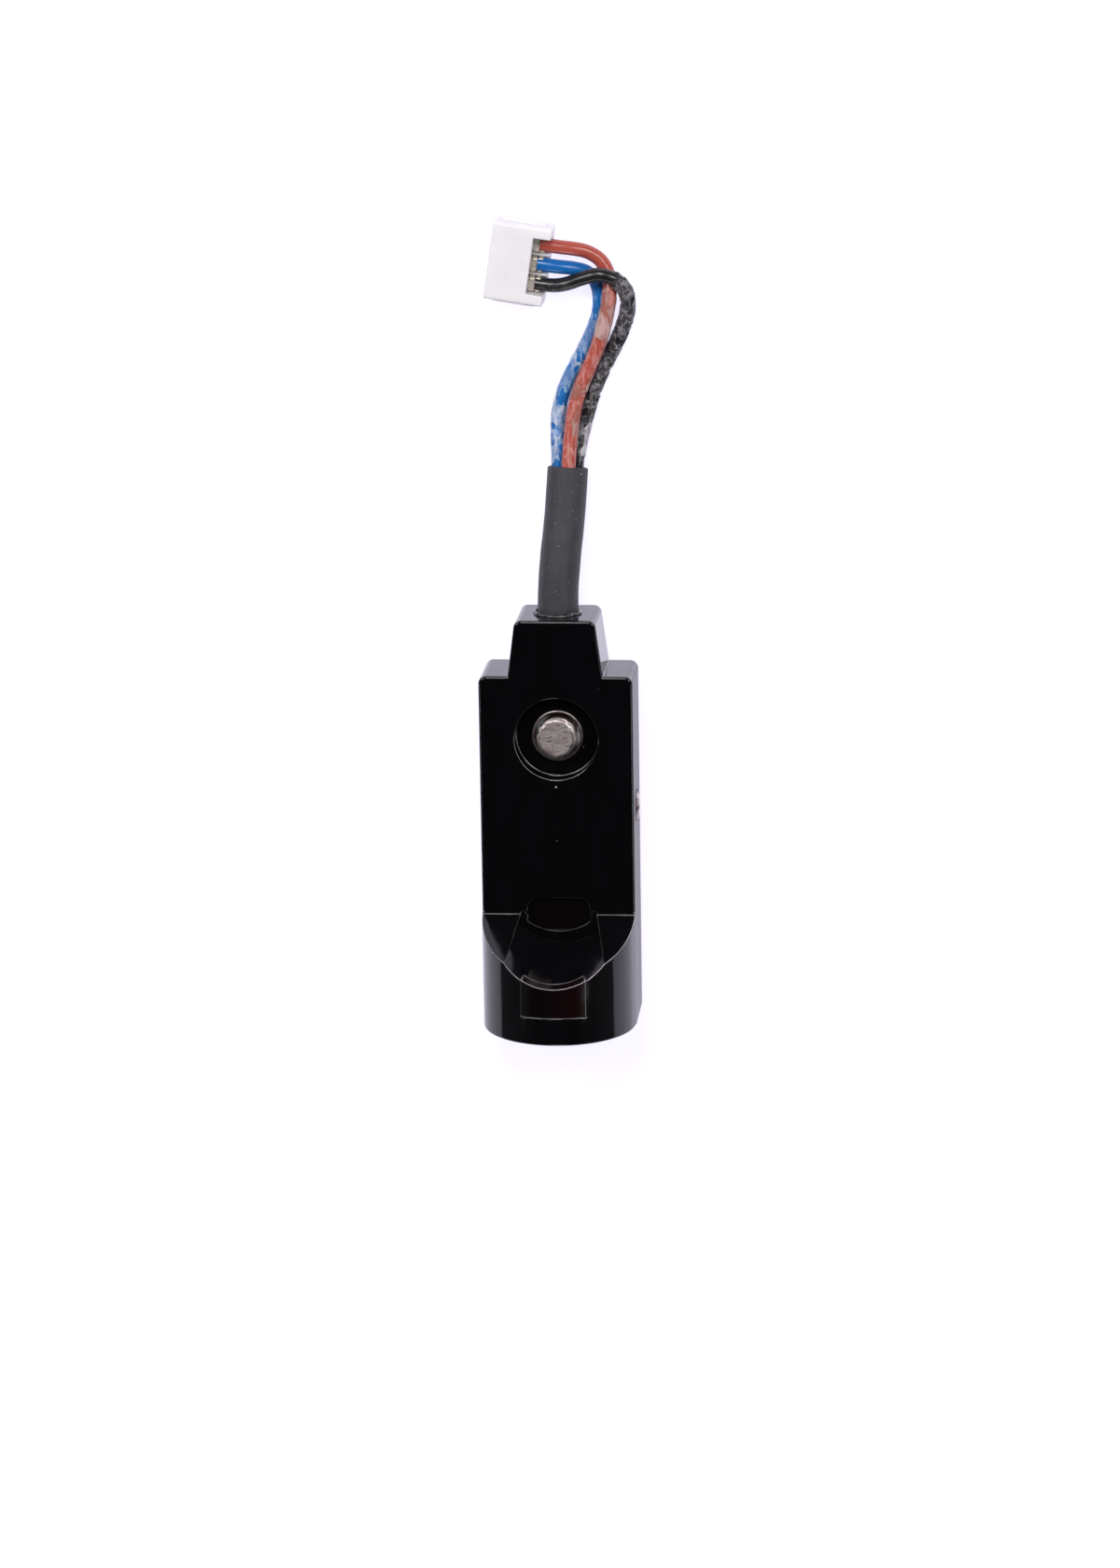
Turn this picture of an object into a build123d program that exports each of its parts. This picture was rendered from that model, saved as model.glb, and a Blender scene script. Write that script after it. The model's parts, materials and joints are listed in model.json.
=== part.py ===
"""Small three-wire photoelectric sensor head, lying on its back with its cable pigtail.

Frame, in millimetres: the body's back lies on Z = 0 and its mounting face looks along +Z.
+Y points to the cable end and +X to the adjuster's side. The origin is at the middle of
the body's width and length, on the back.
"""

import math
import os

from build123d import *

# Body
BODY_WIDTH = 19.6
BODY_LENGTH = 53.0
BODY_DEPTH = 10.0
WALL = 1.4
EDGE_ROUND = 0.3
CORNER_ROUND = 1.0

# Neck at the cable end
NECK_LENGTH = 7.2
NECK_TOP_WIDTH = 10.2
NECK_BASE_WIDTH = 12.1
NECK_END_WALL = 3.0

# Half-round nose at the other end, with a slanted roof that is scooped out
NOSE_EDGE_LENGTH = 8.8
NOSE_ROOF_RUN = 5.8
NOSE_WALL = 1.5
NOSE_FOOT = 1.5
NOSE_LAP = 0.3
ROOF_WALL = 1.0
SCOOP_TOP_WIDTH = 8.8
SCOOP_RIM_WIDTH = 14.2
SCOOP_TOP_DEPTH = 2.1
SCOOP_RIM_DEPTH = 1.15
SCOOP_LID = 0.3

# Windows
NOSE_WINDOW_HALF_ANGLE = 25.0
NOSE_WINDOW_SILL = 3.7
NOSE_WINDOW_THICKNESS = 0.9
NOSE_APERTURE_HALF_ANGLE = 20.0
NOSE_APERTURE_SILL = 0.7
WINDOW_SINK = 0.06
POCKET_WIDTH = 8.0
POCKET_ABOVE_FOLD = 2.2
POCKET_DEPTH = 0.8
POCKET_CORNER = 1.5
POCKET_WINDOW_THICKNESS = 0.8
POCKET_WINDOW_LIP = 0.8

# Fixing screw, its sleeve and its two recesses
FIXING_FROM_END = 15.35
SOCKET_DIAMETER = 10.65
SOCKET_DEPTH = 2.4
BOSS_WALL = 0.9
SLEEVE_OUTER = 6.45
SLEEVE_INNER = 5.75
SLEEVE_PROUD = 0.15
SLEEVE_WEB = 1.6
THREAD_DIAMETER = 5.0
THREAD_LENGTH = 2.1
THREAD_RUNOUT = 0.3
SHANK_DIAMETER = 4.2
HEAD_SEAT_GAP = 0.05
SCREW_POINT = 0.45
HEAD_DIAMETER = 9.5
HEAD_HEIGHT = 2.75
HEX_ACROSS_FLATS = 3.0
HEX_DEPTH = 1.6
HEAD_CLEARANCE = 0.35
HEAD_DOME = 0.7
WASHER_THICKNESS = 0.6
WASHER_CLEARANCE = 0.08
ACCESS_HOLE_DIAMETER = 6.6

# Rear cover
COVER_THICKNESS = 1.2
COVER_LIP = 0.7
COVER_GAP = 0.05
COVER_POST_DIAMETER = 2.0
POST_X = 6.0
POST_FROM_BOARD_TOE = 3.6
POST_ABOVE_FOLD = 3.9

# Circuit board and what stands on it
BOARD_THICKNESS = 0.8
BOARD_HEIGHT = 2.4
BOARD_SIDE_GAP = 0.1
BOARD_BOSS_GAP = 0.6
BOARD_TOE_GAP = 0.5
RIB_WIDTH = 0.9
RIB_LENGTH = 4.0
RIB_BELOW_FOLD = 0.5
LED_DIAMETER = 3.0
LED_LENGTH = 5.3
LED_FLANGE_DIAMETER = 3.8
LED_FLANGE = 1.0
LED_SPACING = 5.2
LED_WINDOW_GAP = 1.6
LEAD_THICKNESS = 0.5
LEAD_PITCH = 2.0
LED_TO_WALL = 0.5
BARRIER_THICKNESS = 0.9
BARRIER_GAP = 0.1

# Flat parts on the board under the nose: width, length, height, then across, from the toe
CHIP_SIZE = (3.9, 4.9, 1.5)
CHIP_PLACE = (-3.6, 9.5)
CHIP_LEG_PITCH = 1.27
REGULATOR_SIZE = (2.5, 4.4, 1.5)
REGULATOR_PLACE = (2.2, 9.5)
TRANSISTOR_SIZE = (1.3, 2.9, 1.0)
TRANSISTOR_PLACE = (4.9, 8.9)
CAPACITOR_SIZE = (1.2, 2.0, 0.9)
CAPACITOR_PLACES = [(6.6, 9.0), (4.9, 11.9), (6.6, 11.9)]
RESISTOR_SIZE = (0.8, 1.6, 0.5)
RESISTOR_PLACES = [(-7.0, 7.9), (-7.0, 10.1), (-7.0, 12.3)]
INDICATOR_SIZE = (1.2, 2.0, 0.8)
INDICATOR_ABOVE_FOLD = 1.0

# Sensitivity adjuster in the right-hand wall
ADJUSTER_FROM_END = 25.15
ADJUSTER_HEAD_DIAMETER = 3.7
ADJUSTER_PROUD = 0.3
ADJUSTER_HEAD_LENGTH = 1.2
ADJUSTER_STEM_DIAMETER = 2.0
ADJUSTER_STEM_LENGTH = 2.2
ADJUSTER_SLOT_WIDTH = 0.6
ADJUSTER_SLOT_DEPTH = 0.55
ADJUSTER_CHAMFER = 0.25
RUNNING_CLEARANCE = 0.06
SEAT_DIAMETER = 4.5
SEAT_DEPTH = 0.35
TRIMMER_WIDTH = 4.4
TRIMMER_HEIGHT = 4.0
TRIMMER_LENGTH = 4.2
TRIMMER_WALL_GAP = 0.1

# Cable
JACKET_DIAMETER = 5.2
CABLE_HEIGHT = 5.0
CORE_DIAMETER = 1.8
CABLE_BORE_GAP = 0.05
JACKET_INNER_END = 5.2
CLAMP_ROOM = 0.2
CORE_LEAD = 1.8
TAIL_LEAD = 0.8
CLAMP_LENGTH = 2.0
CLAMP_GAP = 0.02
SEAL_LENGTH = 0.5
SEAL_WIDTH = 6.6
SEAL_GAP = 0.06

# Plug, a three-way housing on a 2.5 mm pitch
PLUG_PITCH = 2.5
PLUG_ROW = 9.8
PLUG_THICKNESS = 5.75
PLUG_LENGTH = 7.4
PLUG_CENTRE = (-4.3, 71.1)
PLUG_TURN = 171.0
PLUG_CAVITY = 2.1
PLUG_RIB_WIDTH = 1.2
PLUG_RIB_HEIGHT = 0.45
CONTACT_WIDTH = 1.7
CONTACT_HEIGHT = 1.4
CONTACT_LENGTH = 4.4
CONTACT_SETBACK = 1.4
ENTRY_LENGTH = 2.2
LATCH_WINDOW = (2.2, 1.2)
PLUG_AXIS = PLUG_THICKNESS / 2
PLUG_ROUND = 0.4
WIRE_STRAIGHT = 0.6
WAYS = {"brown": 1, "blue": 0, "black": -1}

# Places that follow from the sizes above
TOP = BODY_LENGTH / 2
TOE = -BODY_LENGTH / 2
SHOULDER = TOP - NECK_LENGTH
FIXING_Y = TOP - FIXING_FROM_END
ADJUSTER_Y = TOP - ADJUSTER_FROM_END
NOSE_RADIUS = BODY_WIDTH / 2
NOSE_EDGE_Y = TOE + NOSE_EDGE_LENGTH
FOLD_Y = NOSE_EDGE_Y + NOSE_ROOF_RUN
ROOF_ANGLE = math.atan2(NOSE_RADIUS, NOSE_ROOF_RUN)
ROOM_FOLD_DROP = (ROOF_WALL + SCOOP_TOP_DEPTH) / math.sin(ROOF_ANGLE)
ROOM_RIM_DROP = (ROOF_WALL + SCOOP_RIM_DEPTH) / math.sin(ROOF_ANGLE)
INNER_HALF_WIDTH = BODY_WIDTH / 2 - WALL
CEILING = BODY_DEPTH - WALL
BOSS_RADIUS = SOCKET_DIAMETER / 2 + BOSS_WALL
SOCKET_FLOOR = BODY_DEPTH - SOCKET_DEPTH
HEAD_RECESS_TOP = SOCKET_FLOOR - SLEEVE_WEB
HEAD_RECESS_DIAMETER = HEAD_DIAMETER + 2 * HEAD_CLEARANCE
HEAD_BASE = COVER_THICKNESS + HEAD_SEAT_GAP
WASHER_BASE = HEAD_BASE + HEAD_HEIGHT
SCREW_TRAVEL = HEAD_RECESS_TOP - WASHER_BASE - WASHER_THICKNESS
BOARD_TOP = BOARD_HEIGHT + BOARD_THICKNESS
BOARD_END = FIXING_Y - BOSS_RADIUS - BOARD_BOSS_GAP
BOARD_TOE = TOE + WALL + BOARD_TOE_GAP
POST_PLACES = (BOARD_TOE + POST_FROM_BOARD_TOE, FOLD_Y + POST_ABOVE_FOLD)
RIB_Y = FOLD_Y - RIB_BELOW_FOLD - RIB_LENGTH
ADJUSTER_Z = BOARD_TOP + TRIMMER_HEIGHT / 2
LED_Y = TOE + NOSE_WALL + LED_FLANGE_DIAMETER / 2 + LED_TO_WALL
STEM_END = BODY_WIDTH / 2 + ADJUSTER_PROUD - ADJUSTER_HEAD_LENGTH - ADJUSTER_STEM_LENGTH
BOTTOM = (Align.CENTER, Align.CENTER, Align.MIN)
CLAMP_RADIUS = min(CEILING - CABLE_HEIGHT, NECK_TOP_WIDTH / 2 - WALL) - CLAMP_ROOM
LED_TOP = BODY_DEPTH + NOSE_RADIUS - NOSE_WALL - LED_WINDOW_GAP

# The cores' places in the jacket's end face, off its centre: across, up
CORE_SEATS = {"brown": (0.15, 0.95), "blue": (-1.2, -0.3), "black": (1.05, -0.75)}

# Routes of the free cable, by hand
JACKET_ROUTE = [
    (0.0, TOP - JACKET_INNER_END, CABLE_HEIGHT),
    (0.0, 27.6, CABLE_HEIGHT),
    (0.35, 33.2, 4.6),
    (1.05, 39.0, 3.6),
    (1.4, 44.9, 2.8),
]
CORE_ROUTES = {
    "brown": [
        (1.85, 49.4, 2.95),
        (2.2, 52.0, 2.6),
        (2.9, 54.5, 2.45),
        (3.9, 56.9, 2.4),
        (4.95, 59.2, 2.5),
        (5.85, 61.6, 2.7),
        (6.5, 64.1, 2.8),
        (6.95, 66.5, 2.5),
        (7.0, 68.7, 1.95),
        (6.1, 70.9, 1.75),
        (4.3, 72.2, 2.1),
        (2.4, 72.65, 2.65),
    ],
    "blue": [
        (0.05, 49.4, 1.6),
        (0.2, 51.8, 1.1),
        (0.8, 54.2, 0.95),
        (1.8, 56.5, 0.95),
        (3.0, 58.7, 0.95),
        (4.15, 60.8, 0.95),
        (5.1, 63.0, 0.95),
        (5.6, 65.4, 0.95),
        (5.4, 67.7, 1.0),
        (4.3, 69.5, 1.35),
        (2.3, 70.15, 2.3),
    ],
    "black": [
        (3.2, 49.2, 1.2),
        (3.8, 51.7, 0.95),
        (4.55, 54.2, 0.95),
        (5.6, 56.7, 0.95),
        (6.9, 59.2, 0.95),
        (8.1, 61.6, 0.95),
        (9.0, 64.0, 1.15),
        (9.35, 66.4, 2.2),
        (8.3, 68.7, 3.7),
        (5.9, 69.7, 4.1),
        (3.5, 69.0, 3.6),
        (1.6, 68.2, 3.1),
    ],
}

# Routes of the cores' tails inside the body, past the boss to the board's pads
PAD_HEIGHT = BOARD_TOP + CORE_DIAMETER / 2 + 0.05
TAIL_SEATS = {"brown": (0.6, 1.0), "blue": (-1.3, 0.0), "black": (0.6, -1.0)}
TAIL_LEVELS = {"brown": 2.3, "blue": 0.0, "black": -2.3}
TAIL_LANE = (INNER_HALF_WIDTH + BOSS_RADIUS) / 2
TAIL_PADS = {"brown": 1.4, "blue": 4.2, "black": 7.2}
PAD_Y = BOARD_END - 2.9


def put(shape, name):
    """Write one node, and report how many solids it holds."""
    export_step(shape, f"parts/{name}.step")
    print(f"{name:20s} {len(shape.solids())} solid(s) {shape.volume:10.2f} mm3")


def slab(x, y, z):
    """A box from its three (low, high) spans."""
    size = [high - low for low, high in (x, y, z)]
    middle = [(low + high) / 2 for low, high in (x, y, z)]
    return Pos(*middle) * Box(*size)


def upright(x, y, z_low, z_high, diameter):
    """A cylinder along Z between two heights."""
    return Pos(x, y, (z_low + z_high) / 2) * Cylinder(diameter / 2, z_high - z_low)


def lengthwise(x, z, y_low, y_high, diameter):
    """A cylinder along Y between two places."""
    turned = Rot(90, 0, 0) * Cylinder(diameter / 2, y_high - y_low)
    return Pos(x, (y_low + y_high) / 2, z) * turned


def crosswise(y, z, x_low, x_high, diameter):
    """A cylinder along X between two places."""
    turned = Rot(0, 90, 0) * Cylinder(diameter / 2, x_high - x_low)
    return Pos((x_low + x_high) / 2, y, z) * turned


def outline(inset=0.0):
    """The body's outline seen from the front, drawn in by inset."""
    half = BODY_WIDTH / 2 - inset
    neck_base = NECK_BASE_WIDTH / 2 - inset
    left = [
        (-half, TOE + inset),
        (-half, SHOULDER - inset),
        (-neck_base, SHOULDER - inset),
        (-(NECK_TOP_WIDTH / 2 - inset), TOP - inset),
    ]
    right = [(-x, y) for x, y in reversed(left)]
    face = make_face(Polyline(*left, *right, close=True))
    upper = [v for v in face.vertices() if v.Y > TOE + inset + 1]
    return fillet([v for v in upper if abs(abs(v.X) - neck_base) > 0.01], CORNER_ROUND)


def roof_wedge(fold_drop=0.0, rim_drop=0.0):
    """All that lies above the nose's slanted roof, or above a line dropped from it along Y."""
    fold = FOLD_Y - fold_drop
    rim = NOSE_EDGE_Y - rim_drop
    over = 1.3
    section = Polyline(
        (fold, BODY_DEPTH),
        (fold + over * (rim - fold), BODY_DEPTH + over * NOSE_RADIUS),
        (TOP, BODY_DEPTH + over * NOSE_RADIUS),
        (TOP, BODY_DEPTH),
        close=True,
    )
    return extrude(Plane.YZ * make_face(section), BODY_WIDTH, both=True)


def inner_roof():
    """All that lies above the nose room's own roof, which clears the scoop."""
    return roof_wedge(ROOM_FOLD_DROP, ROOM_RIM_DROP)


def half_round(radius, y_low, y_high, foot):
    """The nose's half-round block between two places, standing foot deep into the plate."""
    upper = Pos(0, BODY_DEPTH + radius) * Rectangle(3 * radius, 2 * radius)
    disc = (Pos(0, BODY_DEPTH) * Circle(radius)) & upper
    sole = slab((-radius, radius), (y_low, y_high), (BODY_DEPTH - foot, BODY_DEPTH))
    return extrude(Plane.XZ.offset(-y_high) * disc, y_high - y_low) + sole


def scoop():
    """The hollow in the nose's roof, which widens and flattens towards the rim."""
    along = Vector(0, -NOSE_ROOF_RUN, NOSE_RADIUS).normalized()
    fold = Vector(0, FOLD_Y, BODY_DEPTH)
    length = math.hypot(NOSE_ROOF_RUN, NOSE_RADIUS)
    ends = []
    for place, width, depth in (
        (-3.0, SCOOP_TOP_WIDTH, SCOOP_TOP_DEPTH),
        (length + 1.5, SCOOP_RIM_WIDTH, SCOOP_RIM_DEPTH),
    ):
        plane = Plane(origin=fold + along * place, x_dir=(1, 0, 0), z_dir=along)
        half = width / 2
        hollow = ThreePointArc((-half, 0), (0, -depth), (half, 0))
        lid = Polyline((half, 0), (half, SCOOP_LID), (-half, SCOOP_LID), (-half, 0))
        ends.append(plane * make_face(Curve() + [hollow, lid]))
    above_floor = slab(
        (-BODY_WIDTH, BODY_WIDTH),
        (TOE - 5, TOP),
        (BODY_DEPTH - POCKET_DEPTH, BODY_DEPTH + 2 * NOSE_RADIUS),
    )
    return loft(ends) & above_floor


def pocket(grow, z_low, z_high):
    """The rounded recess astride the fold between two heights, grown all round."""
    width = POCKET_WIDTH + 2 * grow
    length = 2 * (POCKET_ABOVE_FOLD + grow)
    sketch = Pos(0, FOLD_Y) * RectangleRounded(width, length, POCKET_CORNER)
    return Pos(0, 0, z_low) * extrude(sketch, z_high - z_low)


def window_sector(half_angle, inner, outer, y_low):
    """A curved panel of the nose's front wall, from y_low to beyond its rim."""
    reach = 2 * NOSE_RADIUS
    angle = math.radians(half_angle)
    side, front = reach * math.sin(angle), reach * math.cos(angle)
    wedge = make_face(Polyline((0, 0), (side, front), (-side, front), close=True))
    ring = (Circle(outer) - Circle(inner)) & wedge
    return extrude(Plane.XZ.offset(-FOLD_Y) * (Pos(0, BODY_DEPTH) * ring), FOLD_Y - y_low)


def body_shape():
    """The body's outer shape: plate, neck and nose, solid throughout."""
    plate = extrude(outline(), BODY_DEPTH)
    rims = plate.edges().group_by(Axis.Z)
    plate = fillet(rims[0] + rims[-1], EDGE_ROUND)
    nose = half_round(NOSE_RADIUS, TOE, FOLD_Y + NOSE_LAP, NOSE_FOOT)
    nose = fillet(nose.edges().filter_by(GeomType.CIRCLE).group_by(Axis.Y)[0], EDGE_ROUND)
    recess = pocket(0, BODY_DEPTH - POCKET_DEPTH, BODY_DEPTH)
    return plate + (nose - roof_wedge()) - scoop() - recess


def rooms():
    """The hollow inside the housing, without what stands in it."""
    room = extrude(outline(WALL), CEILING)
    end_wall = slab((-BODY_WIDTH, BODY_WIDTH), (TOP - NECK_END_WALL, TOP), (0, BODY_DEPTH))
    room_fold = FOLD_Y - ROOM_FOLD_DROP - NOSE_LAP
    nose_room = half_round(
        NOSE_RADIUS - NOSE_WALL, TOE + NOSE_WALL, room_fold, BODY_DEPTH - CEILING + 1
    )
    return room - end_wall + (nose_room - inner_roof())


def front_housing(shape):
    """The moulded shell: everything but the back, open behind for the cover."""
    cover_seat = Pos(0, 0, -1) * extrude(outline(COVER_LIP), COVER_THICKNESS + 1)
    boss = upright(0, FIXING_Y, 0, BODY_DEPTH, 2 * BOSS_RADIUS)
    shell = shape - (rooms() - boss) - cover_seat
    shell -= upright(0, FIXING_Y, SOCKET_FLOOR, BODY_DEPTH + 1, SOCKET_DIAMETER)
    shell -= upright(0, FIXING_Y, -1, HEAD_RECESS_TOP, HEAD_RECESS_DIAMETER)
    shell -= upright(0, FIXING_Y, 0, BODY_DEPTH, SLEEVE_OUTER)
    shell -= pocket(POCKET_WINDOW_LIP + COVER_GAP, 0, BODY_DEPTH - POCKET_DEPTH) & slab(
        (-BODY_WIDTH, BODY_WIDTH), (TOE, TOP), (CEILING - 1, BODY_DEPTH)
    )
    shell -= nose_rebate()
    aperture = window_sector(
        NOSE_APERTURE_HALF_ANGLE,
        NOSE_RADIUS - NOSE_WALL - 0.2,
        NOSE_RADIUS,
        TOE + NOSE_WINDOW_SILL + NOSE_APERTURE_SILL,
    )
    shell -= aperture - inner_roof()
    bore = JACKET_DIAMETER + 2 * CABLE_BORE_GAP
    shell -= lengthwise(0, CABLE_HEIGHT, TOP - NECK_END_WALL - 1, TOP + 1, bore)
    side = BODY_WIDTH / 2
    hole = ADJUSTER_HEAD_DIAMETER + 2 * RUNNING_CLEARANCE
    shell -= crosswise(ADJUSTER_Y, ADJUSTER_Z, INNER_HALF_WIDTH - 1, side + 1, hole)
    shell -= crosswise(ADJUSTER_Y, ADJUSTER_Z, side - SEAT_DEPTH, side + 1, SEAT_DIAMETER)
    for sign in (-1, 1):
        span = sorted((sign * INNER_HALF_WIDTH, sign * (INNER_HALF_WIDTH - RIB_WIDTH)))
        shell += slab(span, (RIB_Y, RIB_Y + RIB_LENGTH), (BOARD_TOP, CEILING))
    return shell


def nose_rebate():
    """The shallow seat of the nose window, with its gap all round."""
    gap_angle = math.degrees(COVER_GAP / NOSE_RADIUS)
    return window_sector(
        NOSE_WINDOW_HALF_ANGLE + gap_angle,
        NOSE_RADIUS - WINDOW_SINK - NOSE_WINDOW_THICKNESS - COVER_GAP,
        NOSE_RADIUS + 1,
        TOE + NOSE_WINDOW_SILL - COVER_GAP,
    )


def nose_window(shape):
    """The curved infrared window, whose upper edge is part of the nose's rim."""
    outer = NOSE_RADIUS - WINDOW_SINK
    sill = TOE + NOSE_WINDOW_SILL
    panel = window_sector(NOSE_WINDOW_HALF_ANGLE, outer - NOSE_WINDOW_THICKNESS, outer, sill)
    return panel & shape


def pocket_window():
    """The flat window behind the pocket, held from inside."""
    floor = BODY_DEPTH - POCKET_DEPTH
    return pocket(POCKET_WINDOW_LIP, floor - POCKET_WINDOW_THICKNESS, floor)


def rear_cover():
    """The lid in the housing's back, with the key's hole and four posts for the board."""
    lid = extrude(outline(COVER_LIP + COVER_GAP), COVER_THICKNESS)
    lid -= upright(0, FIXING_Y, -1, COVER_THICKNESS + 1, ACCESS_HOLE_DIAMETER)
    for x in (-POST_X, POST_X):
        for y in POST_PLACES:
            lid += upright(x, y, COVER_THICKNESS, BOARD_HEIGHT, COVER_POST_DIAMETER)
    return lid


def fixing_sleeve():
    """The metal sleeve pressed into the web, standing a little proud of the socket's floor."""
    ring = upright(0, FIXING_Y, HEAD_RECESS_TOP, SOCKET_FLOOR + SLEEVE_PROUD, SLEEVE_OUTER)
    return ring - upright(0, FIXING_Y, 0, BODY_DEPTH, SLEEVE_INNER)


def fixing_screw():
    """The captive screw: domed hexagon-socket head, waisted shank and pointed thread."""
    profile = Polyline(
        (0, HEAD_BASE),
        (HEAD_DIAMETER / 2 - HEAD_DOME, HEAD_BASE),
        (HEAD_DIAMETER / 2, HEAD_BASE + HEAD_DOME),
        (HEAD_DIAMETER / 2, WASHER_BASE),
        (SHANK_DIAMETER / 2, WASHER_BASE),
        (SHANK_DIAMETER / 2, BODY_DEPTH - THREAD_LENGTH),
        (THREAD_DIAMETER / 2, BODY_DEPTH - THREAD_LENGTH + THREAD_RUNOUT),
        (THREAD_DIAMETER / 2, BODY_DEPTH - SCREW_POINT),
        (THREAD_DIAMETER / 2 - SCREW_POINT, BODY_DEPTH),
        (0, BODY_DEPTH),
        close=True,
    )
    screw = revolve(Plane.XZ * make_face(profile), Axis.Z)
    key = extrude(RegularPolygon(HEX_ACROSS_FLATS / 2, 6, major_radius=False), HEX_DEPTH + 1)
    return Pos(0, FIXING_Y, 0) * (screw - Pos(0, 0, HEAD_BASE - 1) * key)


def captive_washer():
    """The nylon ring on the screw's waist that keeps it square in its recess."""
    top = WASHER_BASE + WASHER_THICKNESS
    ring = upright(0, FIXING_Y, WASHER_BASE, top, HEAD_RECESS_DIAMETER - 2 * WASHER_CLEARANCE)
    return ring - upright(0, FIXING_Y, 0, BODY_DEPTH, SHANK_DIAMETER + 2 * RUNNING_CLEARANCE)


def circuit_board():
    """The board on the cover's posts, under the housing's ribs."""
    half = INNER_HALF_WIDTH - BOARD_SIDE_GAP
    return slab((-half, half), (BOARD_TOE, BOARD_END), (BOARD_HEIGHT, BOARD_TOP))


def led(x):
    """A 3 mm round optical part with its flange and dome."""
    base = LED_TOP - LED_LENGTH
    stem = upright(x, LED_Y, base, LED_TOP - LED_DIAMETER / 2, LED_DIAMETER)
    dome = Pos(x, LED_Y, LED_TOP - LED_DIAMETER / 2) * Sphere(LED_DIAMETER / 2)
    return stem + dome + upright(x, LED_Y, base, base + LED_FLANGE, LED_FLANGE_DIAMETER)


def led_leads(x):
    """The two square leads under one optical part, with a foot each on the board."""
    leads = Part()
    half = LEAD_THICKNESS / 2
    for side in (-LEAD_PITCH / 2, LEAD_PITCH / 2):
        spans = (x + side - half, x + side + half), (LED_Y - half, LED_Y + half)
        leads += slab(*spans, (BOARD_TOP, LED_TOP - LED_LENGTH))
    return leads


def light_barrier():
    """The opaque wall between the emitter and the receiver."""
    half = BARRIER_THICKNESS / 2
    y_low = TOE + max(WALL, NOSE_WALL) + BARRIER_GAP
    y_high = LED_Y + LED_DIAMETER / 2
    return slab((-half, half), (y_low, y_high), (BOARD_TOP, LED_TOP))


def on_board(x, y, width, length, height):
    """A flat part lying on the board's upper side."""
    return slab(
        (x - width / 2, x + width / 2), (y - length / 2, y + length / 2),
        (BOARD_TOP, BOARD_TOP + height),
    )


def under_nose(size, *places):
    """Equal flat parts on the board under the nose, each placed across and from the toe."""
    return Part() + [on_board(x, TOE + from_toe, *size) for x, from_toe in places]


def leg_row(count, foot, width, height):
    """A row of flat feet on each long side of the controller chip."""
    legs = Part()
    reach = (CHIP_SIZE[0] + foot) / 2
    for place in range(count):
        at = TOE + CHIP_PLACE[1] + (place - (count - 1) / 2) * CHIP_LEG_PITCH
        for side in (-1, 1):
            legs += on_board(CHIP_PLACE[0] + side * reach, at, foot, width, height)
    return legs


def trimmer_body():
    """The adjuster's square housing on the board, bored for the stem."""
    outer = INNER_HALF_WIDTH - TRIMMER_WALL_GAP
    inner = outer - TRIMMER_LENGTH
    half = TRIMMER_WIDTH / 2
    block = slab(
        (inner, outer), (ADJUSTER_Y - half, ADJUSTER_Y + half), (BOARD_TOP, BOARD_TOP + TRIMMER_HEIGHT)
    )
    bore = ADJUSTER_STEM_DIAMETER + 2 * RUNNING_CLEARANCE
    return block - crosswise(ADJUSTER_Y, ADJUSTER_Z, STEM_END - 0.2, outer + 1, bore)


def trimmer_pins():
    """Three solder feet on the adjuster's inner side."""
    pins = Part()
    inner = INNER_HALF_WIDTH - TRIMMER_WALL_GAP - TRIMMER_LENGTH
    for place in (-1, 0, 1):
        pins += on_board(inner - 0.4, ADJUSTER_Y + 1.4 * place, 0.8, 0.6, 0.4)
    return pins


def adjuster_screw():
    """The slotted metal rotor in the side wall."""
    face = BODY_WIDTH / 2 + ADJUSTER_PROUD
    back = face - ADJUSTER_HEAD_LENGTH
    head = crosswise(ADJUSTER_Y, ADJUSTER_Z, back, face, ADJUSTER_HEAD_DIAMETER)
    head = chamfer(head.edges().group_by(Axis.X)[-1], ADJUSTER_CHAMFER)
    stem = crosswise(ADJUSTER_Y, ADJUSTER_Z, STEM_END, back, ADJUSTER_STEM_DIAMETER)
    half = ADJUSTER_SLOT_WIDTH / 2
    slot = slab(
        (face - ADJUSTER_SLOT_DEPTH, face + 1),
        (ADJUSTER_Y - half, ADJUSTER_Y + half),
        (0, BODY_DEPTH),
    )
    return head + stem - slot


def tube(points, diameter, name):
    """A round tube along straight runs joined by arcs as large as the runs allow."""
    spots = [Vector(*p) for p in points]
    runs = [b - a for a, b in zip(spots, spots[1:])]
    turns = [math.radians(a.get_angle(b)) for a, b in zip(runs, runs[1:])]
    radii = [
        0.45 * min(a.length, b.length) / math.tan(turn / 2)
        for a, b, turn in zip(runs, runs[1:], turns)
    ]
    path = FilletPolyline(*spots, radius=radii)
    solid = sweep(Plane(origin=spots[0], z_dir=runs[0]) * Circle(diameter / 2), path)
    expected = math.pi * diameter**2 / 4 * path.length
    print(
        f"{name}: length {path.length:.1f}, radii {min(radii):.1f} to {max(radii):.1f},"
        f" steepest turn {math.degrees(max(turns)):.0f}, volume {solid.volume / expected:.3f}"
    )
    return solid


def plug_place():
    """The plug's own frame: +X the way the wires enter from, +Y along the row."""
    return Pos(*PLUG_CENTRE, 0) * Rot(0, 0, PLUG_TURN - 180)


def plug_row():
    """The three ways' places along the plug's row."""
    return [place * PLUG_PITCH for place in (-1, 0, 1)]


def wire_run(way):
    """A core's last two points: outside the plug, and where it meets its contact inside."""
    back = PLUG_LENGTH / 2
    seats = [
        plug_place() * Pos(along, way * PLUG_PITCH, PLUG_AXIS)
        for along in (back + WIRE_STRAIGHT, back - CONTACT_SETBACK)
    ]
    return [tuple(seat.position) for seat in seats]


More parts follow.
